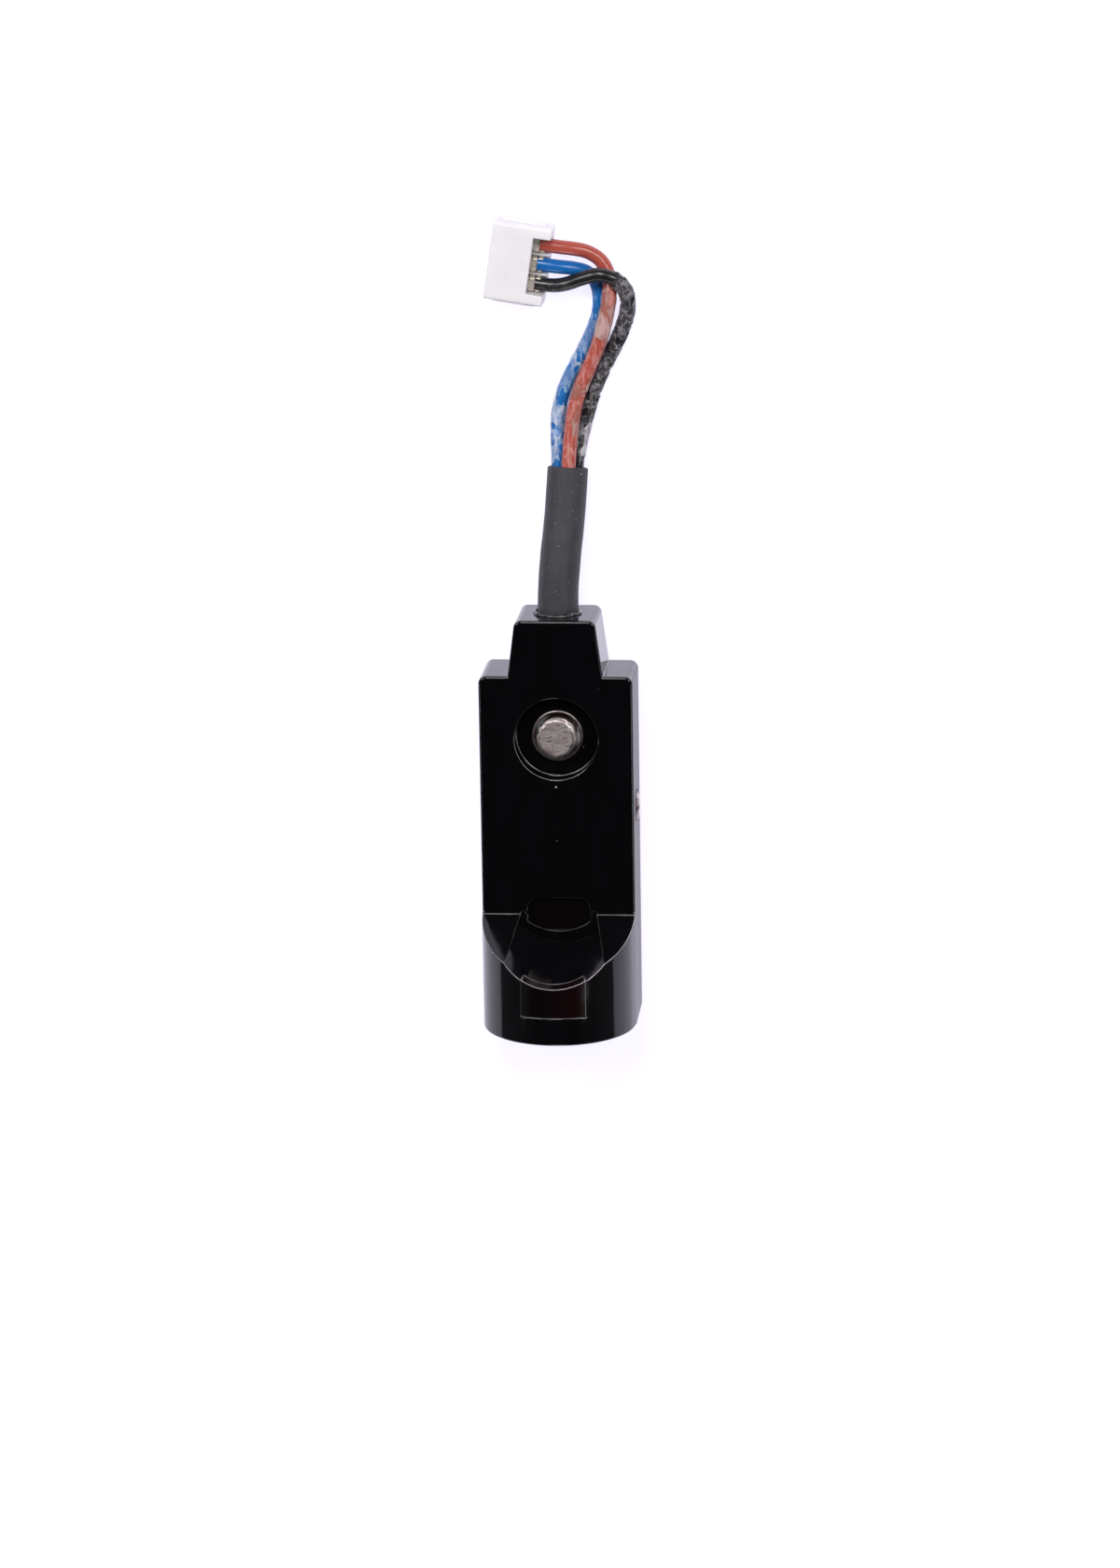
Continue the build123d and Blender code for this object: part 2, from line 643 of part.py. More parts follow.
def connector_housing():
    """The nylon housing with three through cavities, an open wire entry and side ribs."""
    block = Pos(0, 0, PLUG_THICKNESS / 2) * Box(PLUG_LENGTH, PLUG_ROW, PLUG_THICKNESS)
    block = fillet(block.edges().filter_by(Axis.X), PLUG_ROUND)
    for y in plug_row():
        block -= Pos(0, y, PLUG_AXIS) * Box(PLUG_LENGTH + 2, PLUG_CAVITY, PLUG_CAVITY)
    for y in plug_row():
        block -= Pos(-PLUG_LENGTH / 4, y, 0) * Box(*LATCH_WINDOW, PLUG_THICKNESS)
    back = PLUG_LENGTH / 2
    half_row = PLUG_PITCH + PLUG_CAVITY / 2
    block -= slab(
        (back - ENTRY_LENGTH, back + 1), (-half_row, half_row), (PLUG_AXIS, PLUG_THICKNESS + 1)
    )
    for y in (-PLUG_ROW / 2, PLUG_ROW / 2):
        rib = Box(PLUG_LENGTH - 2, PLUG_RIB_HEIGHT * 2, PLUG_RIB_WIDTH)
        block += Pos(0, y, PLUG_AXIS) * rib
    return plug_place() * block


def crimp_contacts():
    """Three open-box contacts, each in its own cavity."""
    contacts = Part()
    back = PLUG_LENGTH / 2 - CONTACT_SETBACK
    for y in plug_row():
        box = Box(CONTACT_LENGTH, CONTACT_WIDTH, CONTACT_HEIGHT)
        mouth = Pos(-1, 0, 0) * Box(CONTACT_LENGTH, CONTACT_WIDTH - 0.5, CONTACT_HEIGHT - 0.5)
        contacts += Pos(back - CONTACT_LENGTH / 2, y, PLUG_AXIS) * (box - mouth)
    return plug_place() * contacts


def core_lead(seat, end, before, length):
    """A core's first two points at one end of the jacket: on its face, and straight on."""
    along = (Vector(*end) - Vector(*before)).normalized()
    across = Vector(abs(along.Y), -math.copysign(along.X, along.Y), 0).normalized()
    up = Vector(0, 0, 1) - along * along.Z
    start = Vector(*end) + across * seat[0] + up.normalized() * seat[1]
    return [tuple(start), tuple(start + along * length)]


def core_tail(name):
    """The inner end of one core, round the boss and down to its pad."""
    lead = core_lead(TAIL_SEATS[name], JACKET_ROUTE[0], JACKET_ROUTE[1], TAIL_LEAD)
    level = CABLE_HEIGHT + TAIL_LEVELS[name]
    start_x, start_y, start_z = lead[-1]
    pad = -TAIL_PADS[name]
    side = -TAIL_LANE
    down = {
        "brown": [(-4.4, FIXING_Y - 6.5, 6.9), (pad - 0.2, PAD_Y + 2.9, 6.0)],
        "blue": [(pad, PAD_Y + 3.0, 4.7)],
        "black": [(side, BOARD_END + 1.2, PAD_HEIGHT + 0.45)],
    }
    points = [
        *lead,
        ((start_x - 2.4) / 2.4, start_y - 1.3, start_z + 0.75 * (level - start_z)),
        (-4.65, SHOULDER - 2.5, level),
        (side, FIXING_Y + 2.3, level),
        (side + 0.01, FIXING_Y - (3.5 if name == "black" else 2.0), level),
        *down[name],
        (pad, PAD_Y + 1.4, PAD_HEIGHT),
        (pad, PAD_Y, PAD_HEIGHT),
    ]
    return tube(points, CORE_DIAMETER, f"{name} tail")


def solder_joints():
    """A solder mound at the end of each core's tail."""
    mounds = Part()
    for x in TAIL_PADS.values():
        mound = Pos(-x, PAD_Y - 0.7, BOARD_TOP) * Cone(0.95, 0.45, 1.4, align=BOTTOM)
        mounds += mound - slab((-9, 9), (PAD_Y - COVER_GAP, TOP), (0, BODY_DEPTH))
    return mounds


def cable_seal():
    """The bead of sealing compound round the cable at the neck's end."""
    bead = lengthwise(0, CABLE_HEIGHT, TOP, TOP + SEAL_LENGTH, SEAL_WIDTH)
    bead = fillet(bead.edges().group_by(Axis.Y)[-1], SEAL_LENGTH * 0.6)
    return bead - lengthwise(0, CABLE_HEIGHT, TOP - 1, TOP + 2, JACKET_DIAMETER + 2 * SEAL_GAP)


def cable_clamp():
    """The crimped ring that stops the cable pulling out of the neck."""
    y_high = TOP - NECK_END_WALL
    ring = lengthwise(0, CABLE_HEIGHT, y_high - CLAMP_LENGTH, y_high, 2 * CLAMP_RADIUS)
    hole = JACKET_DIAMETER + 2 * CLAMP_GAP
    return ring - lengthwise(0, CABLE_HEIGHT, y_high - 5, y_high + 1, hole)


def main():
    os.makedirs("parts", exist_ok=True)
    shape = body_shape()
    put(front_housing(shape), "front_housing")
    put(nose_window(shape), "nose_window")
    put(pocket_window(), "pocket_window")
    put(rear_cover(), "rear_cover")
    put(fixing_sleeve(), "fixing_sleeve")
    put(fixing_screw(), "fixing_screw")
    put(captive_washer(), "captive_washer")
    put(circuit_board(), "circuit_board")
    half = LED_SPACING / 2
    for name, x in (("emitter", -half), ("receiver", half)):
        put(led(x), f"ir_{name}")
        put(led_leads(x), f"{name}_leads")
    put(light_barrier(), "light_barrier")
    put(under_nose(CHIP_SIZE, CHIP_PLACE), "controller_chip")
    put(leg_row(count=4, foot=0.9, width=0.4, height=0.5), "chip_legs")
    put(under_nose(REGULATOR_SIZE, REGULATOR_PLACE), "voltage_regulator")
    put(under_nose(TRANSISTOR_SIZE, TRANSISTOR_PLACE), "output_transistor")
    put(on_board(0, FOLD_Y + INDICATOR_ABOVE_FOLD, *INDICATOR_SIZE), "indicator_led")
    put(under_nose(CAPACITOR_SIZE, *CAPACITOR_PLACES), "capacitors")
    put(under_nose(RESISTOR_SIZE, *RESISTOR_PLACES), "resistors")
    put(trimmer_body(), "trimmer_body")
    put(trimmer_pins(), "trimmer_pins")
    put(adjuster_screw(), "adjuster_screw")
    put(cable_clamp(), "cable_clamp")
    put(cable_seal(), "cable_seal")
    put(solder_joints(), "solder_joints")
    put(tube(JACKET_ROUTE, JACKET_DIAMETER, "jacket"), "cable_jacket")
    for name, way in WAYS.items():
        put(core_tail(name), f"{name}_tail")
        lead = core_lead(CORE_SEATS[name], JACKET_ROUTE[-1], JACKET_ROUTE[-2], CORE_LEAD)
        route = [*lead, *CORE_ROUTES[name], *wire_run(way)]
        put(tube(route, CORE_DIAMETER, name), f"{name}_core")
    put(connector_housing(), "connector_housing")
    put(crimp_contacts(), "crimp_contacts")


main()
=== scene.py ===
"""Looks of a three-wire photoelectric sensor head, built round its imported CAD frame.

Metres, in the frame's own axes: the back lies on Z = 0 and +Y points to the cable's end.
"""

import json
import math

import bmesh
import bpy
from mathutils import Matrix, Vector, noise


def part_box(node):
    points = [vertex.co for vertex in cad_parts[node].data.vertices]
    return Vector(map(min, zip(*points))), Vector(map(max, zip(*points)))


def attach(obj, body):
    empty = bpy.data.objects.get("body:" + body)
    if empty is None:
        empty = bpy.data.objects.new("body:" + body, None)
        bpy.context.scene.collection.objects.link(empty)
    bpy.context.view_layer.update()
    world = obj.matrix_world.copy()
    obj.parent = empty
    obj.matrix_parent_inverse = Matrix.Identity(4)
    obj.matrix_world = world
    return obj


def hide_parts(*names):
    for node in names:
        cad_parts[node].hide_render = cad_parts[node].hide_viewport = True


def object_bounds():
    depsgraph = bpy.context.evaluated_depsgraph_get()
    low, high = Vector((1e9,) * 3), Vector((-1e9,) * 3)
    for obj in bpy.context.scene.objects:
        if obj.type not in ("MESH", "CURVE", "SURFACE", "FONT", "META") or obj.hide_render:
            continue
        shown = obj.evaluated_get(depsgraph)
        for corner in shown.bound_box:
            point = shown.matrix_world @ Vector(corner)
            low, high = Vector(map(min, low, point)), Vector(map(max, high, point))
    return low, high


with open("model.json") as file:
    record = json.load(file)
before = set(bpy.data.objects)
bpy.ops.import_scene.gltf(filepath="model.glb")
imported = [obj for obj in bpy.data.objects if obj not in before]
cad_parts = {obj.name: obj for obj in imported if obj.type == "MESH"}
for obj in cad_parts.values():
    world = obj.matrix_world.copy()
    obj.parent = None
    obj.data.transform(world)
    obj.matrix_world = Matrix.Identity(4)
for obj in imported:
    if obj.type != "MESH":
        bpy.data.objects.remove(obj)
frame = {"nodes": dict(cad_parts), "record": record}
cad_low, cad_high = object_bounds()

SCENE = bpy.context.scene

# Shader sockets whose names aren't just their words with capital letters
SOCKET_WORDS = {"ior": "IOR", "specular_ior_level": "Specular IOR Level"}

# Where the moulding is sunk, where its edges get painted highlights, and which way those highlit
# edges face
EDGE_HIGHLIGHT_FACING = (0.35, 0.90, 0.0)
NOSE_AXIS = 0.0100
NOSE_RADIUS = 0.0098
FOLD_HEIGHT = 0.0101
WINDOW_HALF = 0.0042
WINDOW_FACE_END = -0.0185
SIDE_WALL = 0.0095
SINK_RING_RADIUS = 0.0068
SINK_RING_SPREAD = 0.0007
SINK_LINES = (0.0032, -0.0015, -0.0067)
SINK_LINE_REACH = 0.0054
SINK_LINE_SPREAD = 0.0004
EDGE_HIGHLIGHT_WIDTH = 0.00016
EDGE_HIGHLIGHT_COLOUR = (0.72, 0.66, 0.68)

# Camera, from a fit of the body's corners
CAMERA_PLACE = Vector((0.05884, 0.16514, 0.62659))
CAMERA_TARGET = Vector((0.00043, 0.00534, 0.010))
CAMERA_ROLL = math.radians(-0.905)
CAMERA_LENS = 115.6
SENSOR = 36.0

# Routes of the free cable: the points of the model's own tubes
JACKET_ROUTE = [
    (0.0, 0.0213, 0.0050), (0.0, 0.0276, 0.0050), (0.00035, 0.0332, 0.0046),
    (0.00105, 0.0390, 0.0036), (0.0014, 0.0449, 0.0028),
]
CORE_ROUTES = {
    "brown": [
        (0.00185, 0.0494, 0.00295), (0.0022, 0.0520, 0.0026), (0.0029, 0.0545, 0.00245),
        (0.0039, 0.0569, 0.0024), (0.00495, 0.0592, 0.0025), (0.00585, 0.0616, 0.0027),
        (0.0065, 0.0641, 0.0028), (0.00695, 0.0665, 0.0025), (0.0070, 0.0687, 0.00195),
        (0.0061, 0.0709, 0.00175), (0.0043, 0.0722, 0.0021), (0.0024, 0.07265, 0.00265),
    ],
    "blue": [
        (0.00005, 0.0494, 0.0016), (0.0002, 0.0518, 0.0011), (0.0008, 0.0542, 0.00095),
        (0.0018, 0.0565, 0.00095), (0.0030, 0.0587, 0.00095), (0.00415, 0.0608, 0.00095),
        (0.0051, 0.0630, 0.00095), (0.0056, 0.0654, 0.00095), (0.0054, 0.0677, 0.0010),
        (0.0043, 0.0695, 0.00135), (0.0023, 0.07015, 0.0023),
    ],
    "black": [
        (0.0032, 0.0492, 0.0012), (0.0038, 0.0517, 0.00095), (0.00455, 0.0542, 0.00095),
        (0.0056, 0.0567, 0.00095), (0.0069, 0.0592, 0.00095), (0.0081, 0.0616, 0.00095),
        (0.0090, 0.0640, 0.00115), (0.00935, 0.0664, 0.0022), (0.0083, 0.0687, 0.0037),
        (0.0059, 0.0697, 0.0041), (0.0035, 0.0690, 0.0036), (0.0016, 0.0682, 0.0031),
    ],
}
CORE_SEATS = {
    "brown": (0.00015, 0.00095), "blue": (-0.0012, -0.0003), "black": (0.00105, -0.00075),
}
WAYS = {"brown": 1, "blue": 0, "black": -1}
CORE_LEAD = 0.0018
CORE_DIAMETER = 0.0018
JACKET_DIAMETER = 0.0052
CLEAN_CORE_START = 0.0665

# What lies on the cores stays this far inside the CAD box
CLEARANCE = 0.00004

# Plug
PLUG_CENTRE = Vector((-0.0043, 0.0711, 0.0))
PLUG_TURN = math.radians(-9.0)
PLUG_LENGTH = 0.0074
PLUG_PITCH = 0.0025
PLUG_AXIS = 0.002875
WIRE_STRAIGHT = 0.0006
CONTACT_SETBACK = 0.0014
CRIMP_BANDS = ((0.0021, 0.0015), (0.0013, 0.0007))

# Table: half its side, how far it lies below the back, and how far its glow reaches
FLOOR_HALF = 1.2
FLOOR_DROP = 0.00003
GLOW_START = 0.145
GLOW_END = 0.30

# Lamps: direction, height above the table, both in degrees, distance, diameter and watts
LAMP_AIM = Vector((0.0, 0.02, 0.0))
LAMPS = {
    "box_far": (95.0, 55.0, 0.80, 0.26, 2.5),
    "box_left": (143.0, 50.0, 0.80, 0.30, 2.0),
    "box_right": (37.0, 50.0, 0.80, 0.30, 2.0),
    "strip_left": (196.0, 40.0, 0.80, 0.10, 0.35),
    "strip_right": (-18.0, 46.0, 0.80, 0.16, 0.6),
    "box_near": (-90.0, 24.0, 0.80, 0.24, 0.7),
}

# The dark room's grey from straight down to straight up
ROOM_STOPS = ((0.0, 0.10), (0.35, 0.07), (0.60, 0.04), (0.76, 0.012), (1.0, 0.006))


# ---------------------------------------------------------------- meshes and curves


def link(name, data):
    """A new object in the scene."""
    piece = bpy.data.objects.new(name, data)
    SCENE.collection.objects.link(piece)
    return piece


def finished(piece, body, slot, material, *nodes):
    """Gives a piece its body and material, and hides the CAD nodes that it stands for; the slot is
    not used.
    """
    piece.data.materials.clear()
    piece.data.materials.append(material)
    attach(piece, body)
    if nodes:
        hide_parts(*nodes)
    return piece


def route_curve(name, points, radius):
    """A NURBS tube on a route's points."""
    curve = bpy.data.curves.new(name, "CURVE")
    curve.dimensions = "3D"
    curve.resolution_u = 10
    spline = curve.splines.new("NURBS")
    spline.points.add(len(points) - 1)
    for spot, point in zip(spline.points, points):
        spot.co = (*point, 1.0)
    spline.order_u = 3
    spline.use_endpoint_u = True
    curve.bevel_depth = radius
    curve.bevel_resolution = 7
    return link(name, curve)


def centreline(points, step):
    """Evenly spaced points along a route's NURBS line."""
    bare = route_curve("bare_line", points, 0.0)
    bare.data.resolution_u = 24
    mesh = bpy.data.meshes.new_from_object(bare)
    line = [v.co.copy() for v in mesh.vertices]
    bpy.data.objects.remove(bare)
    bpy.data.meshes.remove(mesh)
    spaced = [line[0]]
    travelled = 0.0
    for a, b in zip(line, line[1:]):
        run = (b - a).length
        while travelled + run >= step:
            a = a + (b - a).normalized() * (step - travelled)
            run = (b - a).length
            travelled = 0.0
            spaced.append(a.copy())
        travelled += run
    return spaced


def carried_frames(line):
    """For each point of a line, its tangent and two directions across it, without twist."""
    frames = []
    across = Vector((1, 0, 0))
    for i, point in enumerate(line):
        ahead = line[min(i + 1, len(line) - 1)] - line[max(i - 1, 0)]
        along = ahead.normalized()
        across = (across - along * across.dot(along)).normalized()
        frames.append((point, along, across, along.cross(across)))
    return frames


def spokes(across, over, sides):
    """Directions spread evenly round a line, from two directions across it."""
    for c in range(sides):
        angle = 2 * math.pi * c / sides
        yield across * math.cos(angle) + over * math.sin(angle)


def ring_quads(rows, count):
    """Quads between one closed ring of points and the next, for that many rings."""
    quads = []
    for r in range(rows - 1):
        for c in range(count):
            n = (c + 1) % count
            quads.append((r * count + c, r * count + n, (r + 1) * count + n, (r + 1) * count + c))
    return quads


def ring_mesh(name, rings, cap_start=False):
    """A mesh of quads through closed rings of equally many points."""
    count = len(rings[0])
    points = [p for ring in rings for p in ring]
    faces = ring_quads(len(rings), count)
    if cap_start:
        faces.append(tuple(reversed(range(count))))
    mesh = bpy.data.meshes.new(name)
    mesh.from_pydata(points, [], faces)
    clean = bmesh.new()
    clean.from_mesh(mesh)
    bmesh.ops.remove_doubles(clean, verts=clean.verts, dist=1e-7)
    bmesh.ops.recalc_face_normals(clean, faces=clean.faces)
    clean.to_mesh(mesh)
    clean.free()
    return mesh


def smooth_by_angle(mesh, degrees=35):
    """Smooth shading, with sharp edges where faces meet at more than that angle."""
    mesh.shade_smooth()
    mesh.set_sharp_from_angle(angle=math.radians(degrees))
    return mesh


def turned(name, centre, profile, segments):
    """A mesh turned about a vertical axis: profile holds (height, radius or its function)."""
    rings = []
    for height, radius in profile:
        ring = []
        for c in range(segments):
            angle = 2 * math.pi * c / segments
            reach = radius(angle) if callable(radius) else radius
            ring.append(Vector((
                centre.x + reach * math.cos(angle), centre.y + reach * math.sin(angle), height
            )))
        rings.append(ring)
    return smooth_by_angle(ring_mesh(name, rings))


def thickened(piece, thickness):
    """A sheet given its thickness, outwards."""
    sheet = piece.modifiers.new("sheet", "SOLIDIFY")
    sheet.thickness = thickness
    sheet.offset = 1.0
    return piece


def ripple(point, scale, seed=0.0):
    """Smooth noise from about -1 to 1 at a place, with features about 1 / scale wide."""
    return noise.noise(Vector(point) * scale + Vector((seed, 2 * seed, 3 * seed)))


# ---------------------------------------------------------------- materials


def rgba(value):
    """A colour with its alpha; what is linked stays as it is."""
    return (*value, 1.0) if isinstance(value, tuple) else value


class Surface:
    """A node material in the making, patterned by the piece's own coordinates in metres."""

    def __init__(self, name, **constants):
        self.material = bpy.data.materials.new(name)
        self.material.use_nodes = True
        self.nodes = self.material.node_tree.nodes
        self.links = self.material.node_tree.links
        self.shader = self.nodes["Principled BSDF"]
        self.place = self.nodes.new("ShaderNodeTexCoord").outputs["Object"]
        for word, value in constants.items():
            socket = SOCKET_WORDS.get(word, word.replace("_", " ").title())
            self.shader.inputs[socket].default_value = value

    def node(self, kind, inputs, output=0, **settings):
        """A node with its inputs set or linked; gives one of its outputs."""
        made = self.nodes.new(kind)
        for word, value in settings.items():
            setattr(made, word, value)
        for key, value in inputs.items():
            self.feed(made.inputs[key], value)
        return made.outputs[output]

    def feed(self, socket, value):
        """Links a socket, or sets it."""
        if isinstance(value, bpy.types.NodeSocket):
            self.links.new(value, socket)
        else:
            socket.default_value = value

    def stretched(self, x, y, z):
        """The place, scaled differently along each axis."""
        return self.node("ShaderNodeMapping", {"Vector": self.place, "Scale": (x, y, z)})

    def grain(self, scale, detail=3.0, distortion=0.0, place=None, roughness=0.55):
        """Noise from 0 to 1."""
        return self.node("ShaderNodeTexNoise", {
            "Vector": place or self.place, "Scale": scale, "Detail": detail,
            "Distortion": distortion, "Roughness": roughness,
        })

    def sum(self, operation, a, b=0.0):
        """One arithmetic step."""
        return self.node("ShaderNodeMath", {0: a, 1: b}, operation=operation)

    def span(self, value, low, high, start=0.0, end=1.0):
        """Value moved from (start, end) to (low, high), clamped."""
        return self.node("ShaderNodeMapRange", {
            "Value": value, "From Min": start, "From Max": end, "To Min": low, "To Max": high,
        })

    def blend(self, share, a, b):
        """A mix of two colours."""
        made = self.nodes.new("ShaderNodeMix")
        made.data_type = "RGBA"
        self.feed(made.inputs[0], share)
        self.feed(made.inputs[6], rgba(a))
        self.feed(made.inputs[7], rgba(b))
        return made.outputs[2]

    def axis(self, letter):
        """One coordinate of the place."""
        return self.node("ShaderNodeSeparateXYZ", {0: self.place}, output=letter)

    def specks(self, scale, size, rarity):
        """1 inside small round specks, one in few cells, 0 elsewhere."""
        cells = self.nodes.new("ShaderNodeTexVoronoi")
        self.feed(cells.inputs["Vector"], self.place)
        self.feed(cells.inputs["Scale"], scale)
        near = self.sum("LESS_THAN", cells.outputs["Distance"], size)
        pick = self.node("ShaderNodeSeparateColor", {0: cells.outputs["Color"]})
        return self.sum("MULTIPLY", near, self.sum("GREATER_THAN", pick, rarity))

    def colour(self, value):
        """Sets or links the base colour."""
        self.feed(self.shader.inputs["Base Color"], rgba(value))

    def dullness(self, value):
        """Sets or links the roughness."""
        self.feed(self.shader.inputs["Roughness"], value)

    def likeness(self, a, b):
        """The dot product of two directions."""
        return self.node(
            "ShaderNodeVectorMath", {0: a, 1: b}, output="Value", operation="DOT_PRODUCT"
        )

    def on_rim(self):
        """1 at the nose's round outer face, 0 inside it."""
        from_axis = self.node("ShaderNodeVectorMath", {
            0: self.node("ShaderNodeCombineXYZ", {
                0: self.axis("X"), 2: self.sum("SUBTRACT", self.axis("Z"), NOSE_AXIS),
            }),
        }, output="Value", operation="LENGTH")
        return self.span(from_axis, 0.0, 1.0, NOSE_RADIUS - 0.0006, NOSE_RADIUS - 0.0002)

    def edges(self, width, facing):
        """1 along sharp edges that face that way, next to nothing along others, 0 elsewhere: the mask
        of the painted edge highlights.
        """
        rounded = self.node("ShaderNodeBevel", {"Radius": width}, samples=6)
        flat = self.nodes.new("ShaderNodeNewGeometry").outputs["Normal"]
        sharp = self.span(self.likeness(rounded, flat), 1.0, 0.0, 0.93, 0.985)
        turned_there = self.span(self.likeness(rounded, facing), 0.06, 1.0, 0.1, 0.38)
        return self.sum("MULTIPLY", sharp, turned_there)

    def relief(self, *layers, rounding=0.0):
        """Bump layers, each a height from 0 to 1 with its depth in metres, on rounded edges."""
        normal = None
        if rounding:
            normal = self.node("ShaderNodeBevel", {"Radius": rounding}, samples=8)
        for height, depth in layers:
            inputs = {"Height": height, "Distance": depth, "Strength": 1.0}
            if normal is not None:
                inputs["Normal"] = normal
            normal = self.node("ShaderNodeBump", inputs)
        self.links.new(normal, self.shader.inputs["Normal"])


def plain(name, light, dark, grain, gloss, relief, **constants):
    """A material that varies between two colours and two degrees of gloss, with a grain."""
    s = Surface(name, **constants)
    patches = s.grain(grain, detail=5.0)
    fine = s.grain(grain * 6, detail=3.0)
    s.colour(s.blend(s.span(patches, 0.0, 1.0, 0.35, 0.65), light, dark))
    s.dullness(s.span(patches, gloss[0], gloss[1], 0.3, 0.7))
    s.relief((fine, relief))
    return s.material


def black_moulding():
    """Glossy black plastic: faint sink marks, soft ripples, stray dust and painted highlights along
    the edges that face the lamps.
    """
    s = Surface("black_moulding", ior=1.48, specular_tint=(0.97, 0.94, 1.0, 1.0))
    low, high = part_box("fixing_sleeve")
    middle_y = (low.y + high.y) / 2
    x = s.axis("X")
    y = s.axis("Y")
    swell = s.grain(150.0, detail=1.0)
    smear = s.grain(420.0, detail=6.0, place=s.stretched(1.0, 0.35, 1.0))
    fine = s.grain(5200.0, detail=2.0)
    from_socket = s.node("ShaderNodeVectorMath", {
        0: s.node("ShaderNodeCombineXYZ", {0: x, 1: s.sum("SUBTRACT", y, middle_y)})
    }, output="Value", operation="LENGTH")
    from_ring = s.sum("ABSOLUTE", s.sum("SUBTRACT", from_socket, SINK_RING_RADIUS))
    sink = s.span(from_ring, 1.0, 0.0, 0.0, SINK_RING_SPREAD)
    across = s.span(s.sum("ABSOLUTE", x), 1.0, 0.0, SINK_LINE_REACH, SINK_LINE_REACH + 0.0008)
    for mark in SINK_LINES:
        from_line = s.sum("ABSOLUTE", s.sum("SUBTRACT", y, mark))
        line = s.span(from_line, 1.0, 0.0, 0.0, SINK_LINE_SPREAD)
        sink = s.sum("MAXIMUM", sink, s.sum("MULTIPLY", line, across))
    dust = s.specks(260.0, 0.03, 0.86)
    lint = s.specks(900.0, 0.035, 0.93)
    specks = s.sum("MAXIMUM", dust, lint)
    black = s.blend(smear, (0.0016, 0.0014, 0.0018), (0.0034, 0.0030, 0.0038))
    beside_window = s.span(s.sum("ABSOLUTE", x), 0.3, 1.0, WINDOW_HALF, WINDOW_HALF + 0.0005)
    below_fold = s.span(s.axis("Z"), 0.55, 0.2, FOLD_HEIGHT, FOLD_HEIGHT + 0.0005)
    where = s.sum("MAXIMUM", below_fold, s.sum("MULTIPLY", s.on_rim(), beside_window))
    # Painted highlights: a pale colour along the sharp edges that face the lamps beyond the cable,
    # strongest below the fold and on the nose's rim beside the window, broken up by the smear
    edge_highlight = s.sum("MULTIPLY", s.edges(EDGE_HIGHLIGHT_WIDTH, EDGE_HIGHLIGHT_FACING), where)
    edge_highlight = s.sum("MULTIPLY", edge_highlight, s.span(smear, 0.5, 1.0, 0.35, 0.6))
    black = s.blend(edge_highlight, black, EDGE_HIGHLIGHT_COLOUR)
    s.colour(s.blend(specks, black, (0.42, 0.40, 0.42)))
    side = s.span(s.sum("ABSOLUTE", x), 0.0, 0.34, SIDE_WALL, SIDE_WALL + 0.0002)
    worn = s.sum("MAXIMUM", side, s.span(smear, 0.045, 0.13, 0.35, 0.75))
    s.dullness(s.sum("MAXIMUM", worn, s.span(specks, 0.0, 0.7)))
    s.relief((swell, 0.00006), (sink, 0.000012), (fine, 0.0000006), rounding=0.00026)
    return s.material


def infrared_window():
    """Nearly black glossy plastic with a red cast, a painted red glow towards +X on the nose, and
    painted highlights on the edges that face the lamps.
    """
    s = Surface("infrared_window", ior=1.52)
    cloud = s.grain(180.0, detail=3.0)
    on_nose = s.span(s.axis("Y"), 1.0, 0.0, WINDOW_FACE_END, WINDOW_FACE_END + 0.001)
    # Painted glow: a redder tone that grows towards +X on the nose part of the window
    painted_glow = s.sum("MULTIPLY", s.span(s.axis("X"), 0.0, 1.0, -0.002, 0.004), on_nose)
    dark = s.blend(cloud, (0.0020, 0.0016, 0.0020), (0.0032, 0.0020, 0.0024))
    tinted = s.blend(painted_glow, dark, (0.0075, 0.0024, 0.0030))
    where = s.span(s.on_rim(), 0.12, 0.9)
    # Painted highlights: a pale colour along the edges that face the lamps, mostly on the nose's rim
    edge_highlight = s.sum("MULTIPLY", s.edges(EDGE_HIGHLIGHT_WIDTH, EDGE_HIGHLIGHT_FACING), where)
    s.colour(s.blend(edge_highlight, tinted, EDGE_HIGHLIGHT_COLOUR))
    s.dullness(s.span(cloud, 0.05, 0.12))
    s.relief((s.grain(240.0, detail=1.0), 0.00004), rounding=0.0001)
    return s.material


def natural_nylon():
    """White nylon that lets a little light through, with soft clouds and handling marks."""
    s = Surface(
        "natural_nylon", ior=1.53, subsurface_weight=0.35, subsurface_scale=0.0009,
        subsurface_radius=(1.0, 0.92, 0.95),
    )
    cloud = s.grain(320.0, detail=4.0)
    scuff = s.grain(1500.0, detail=6.0, place=s.stretched(1.0, 0.3, 1.0))
    clean = s.blend(cloud, (0.82, 0.78, 0.82), (0.90, 0.88, 0.91))
    s.colour(s.blend(s.span(scuff, 0.0, 0.35, 0.62, 0.8), clean, (0.60, 0.55, 0.56)))
    s.dullness(s.span(cloud, 0.32, 0.5))
    s.relief((s.grain(2500.0, detail=3.0), 0.000008), (cloud, 0.00002))
    return s.material


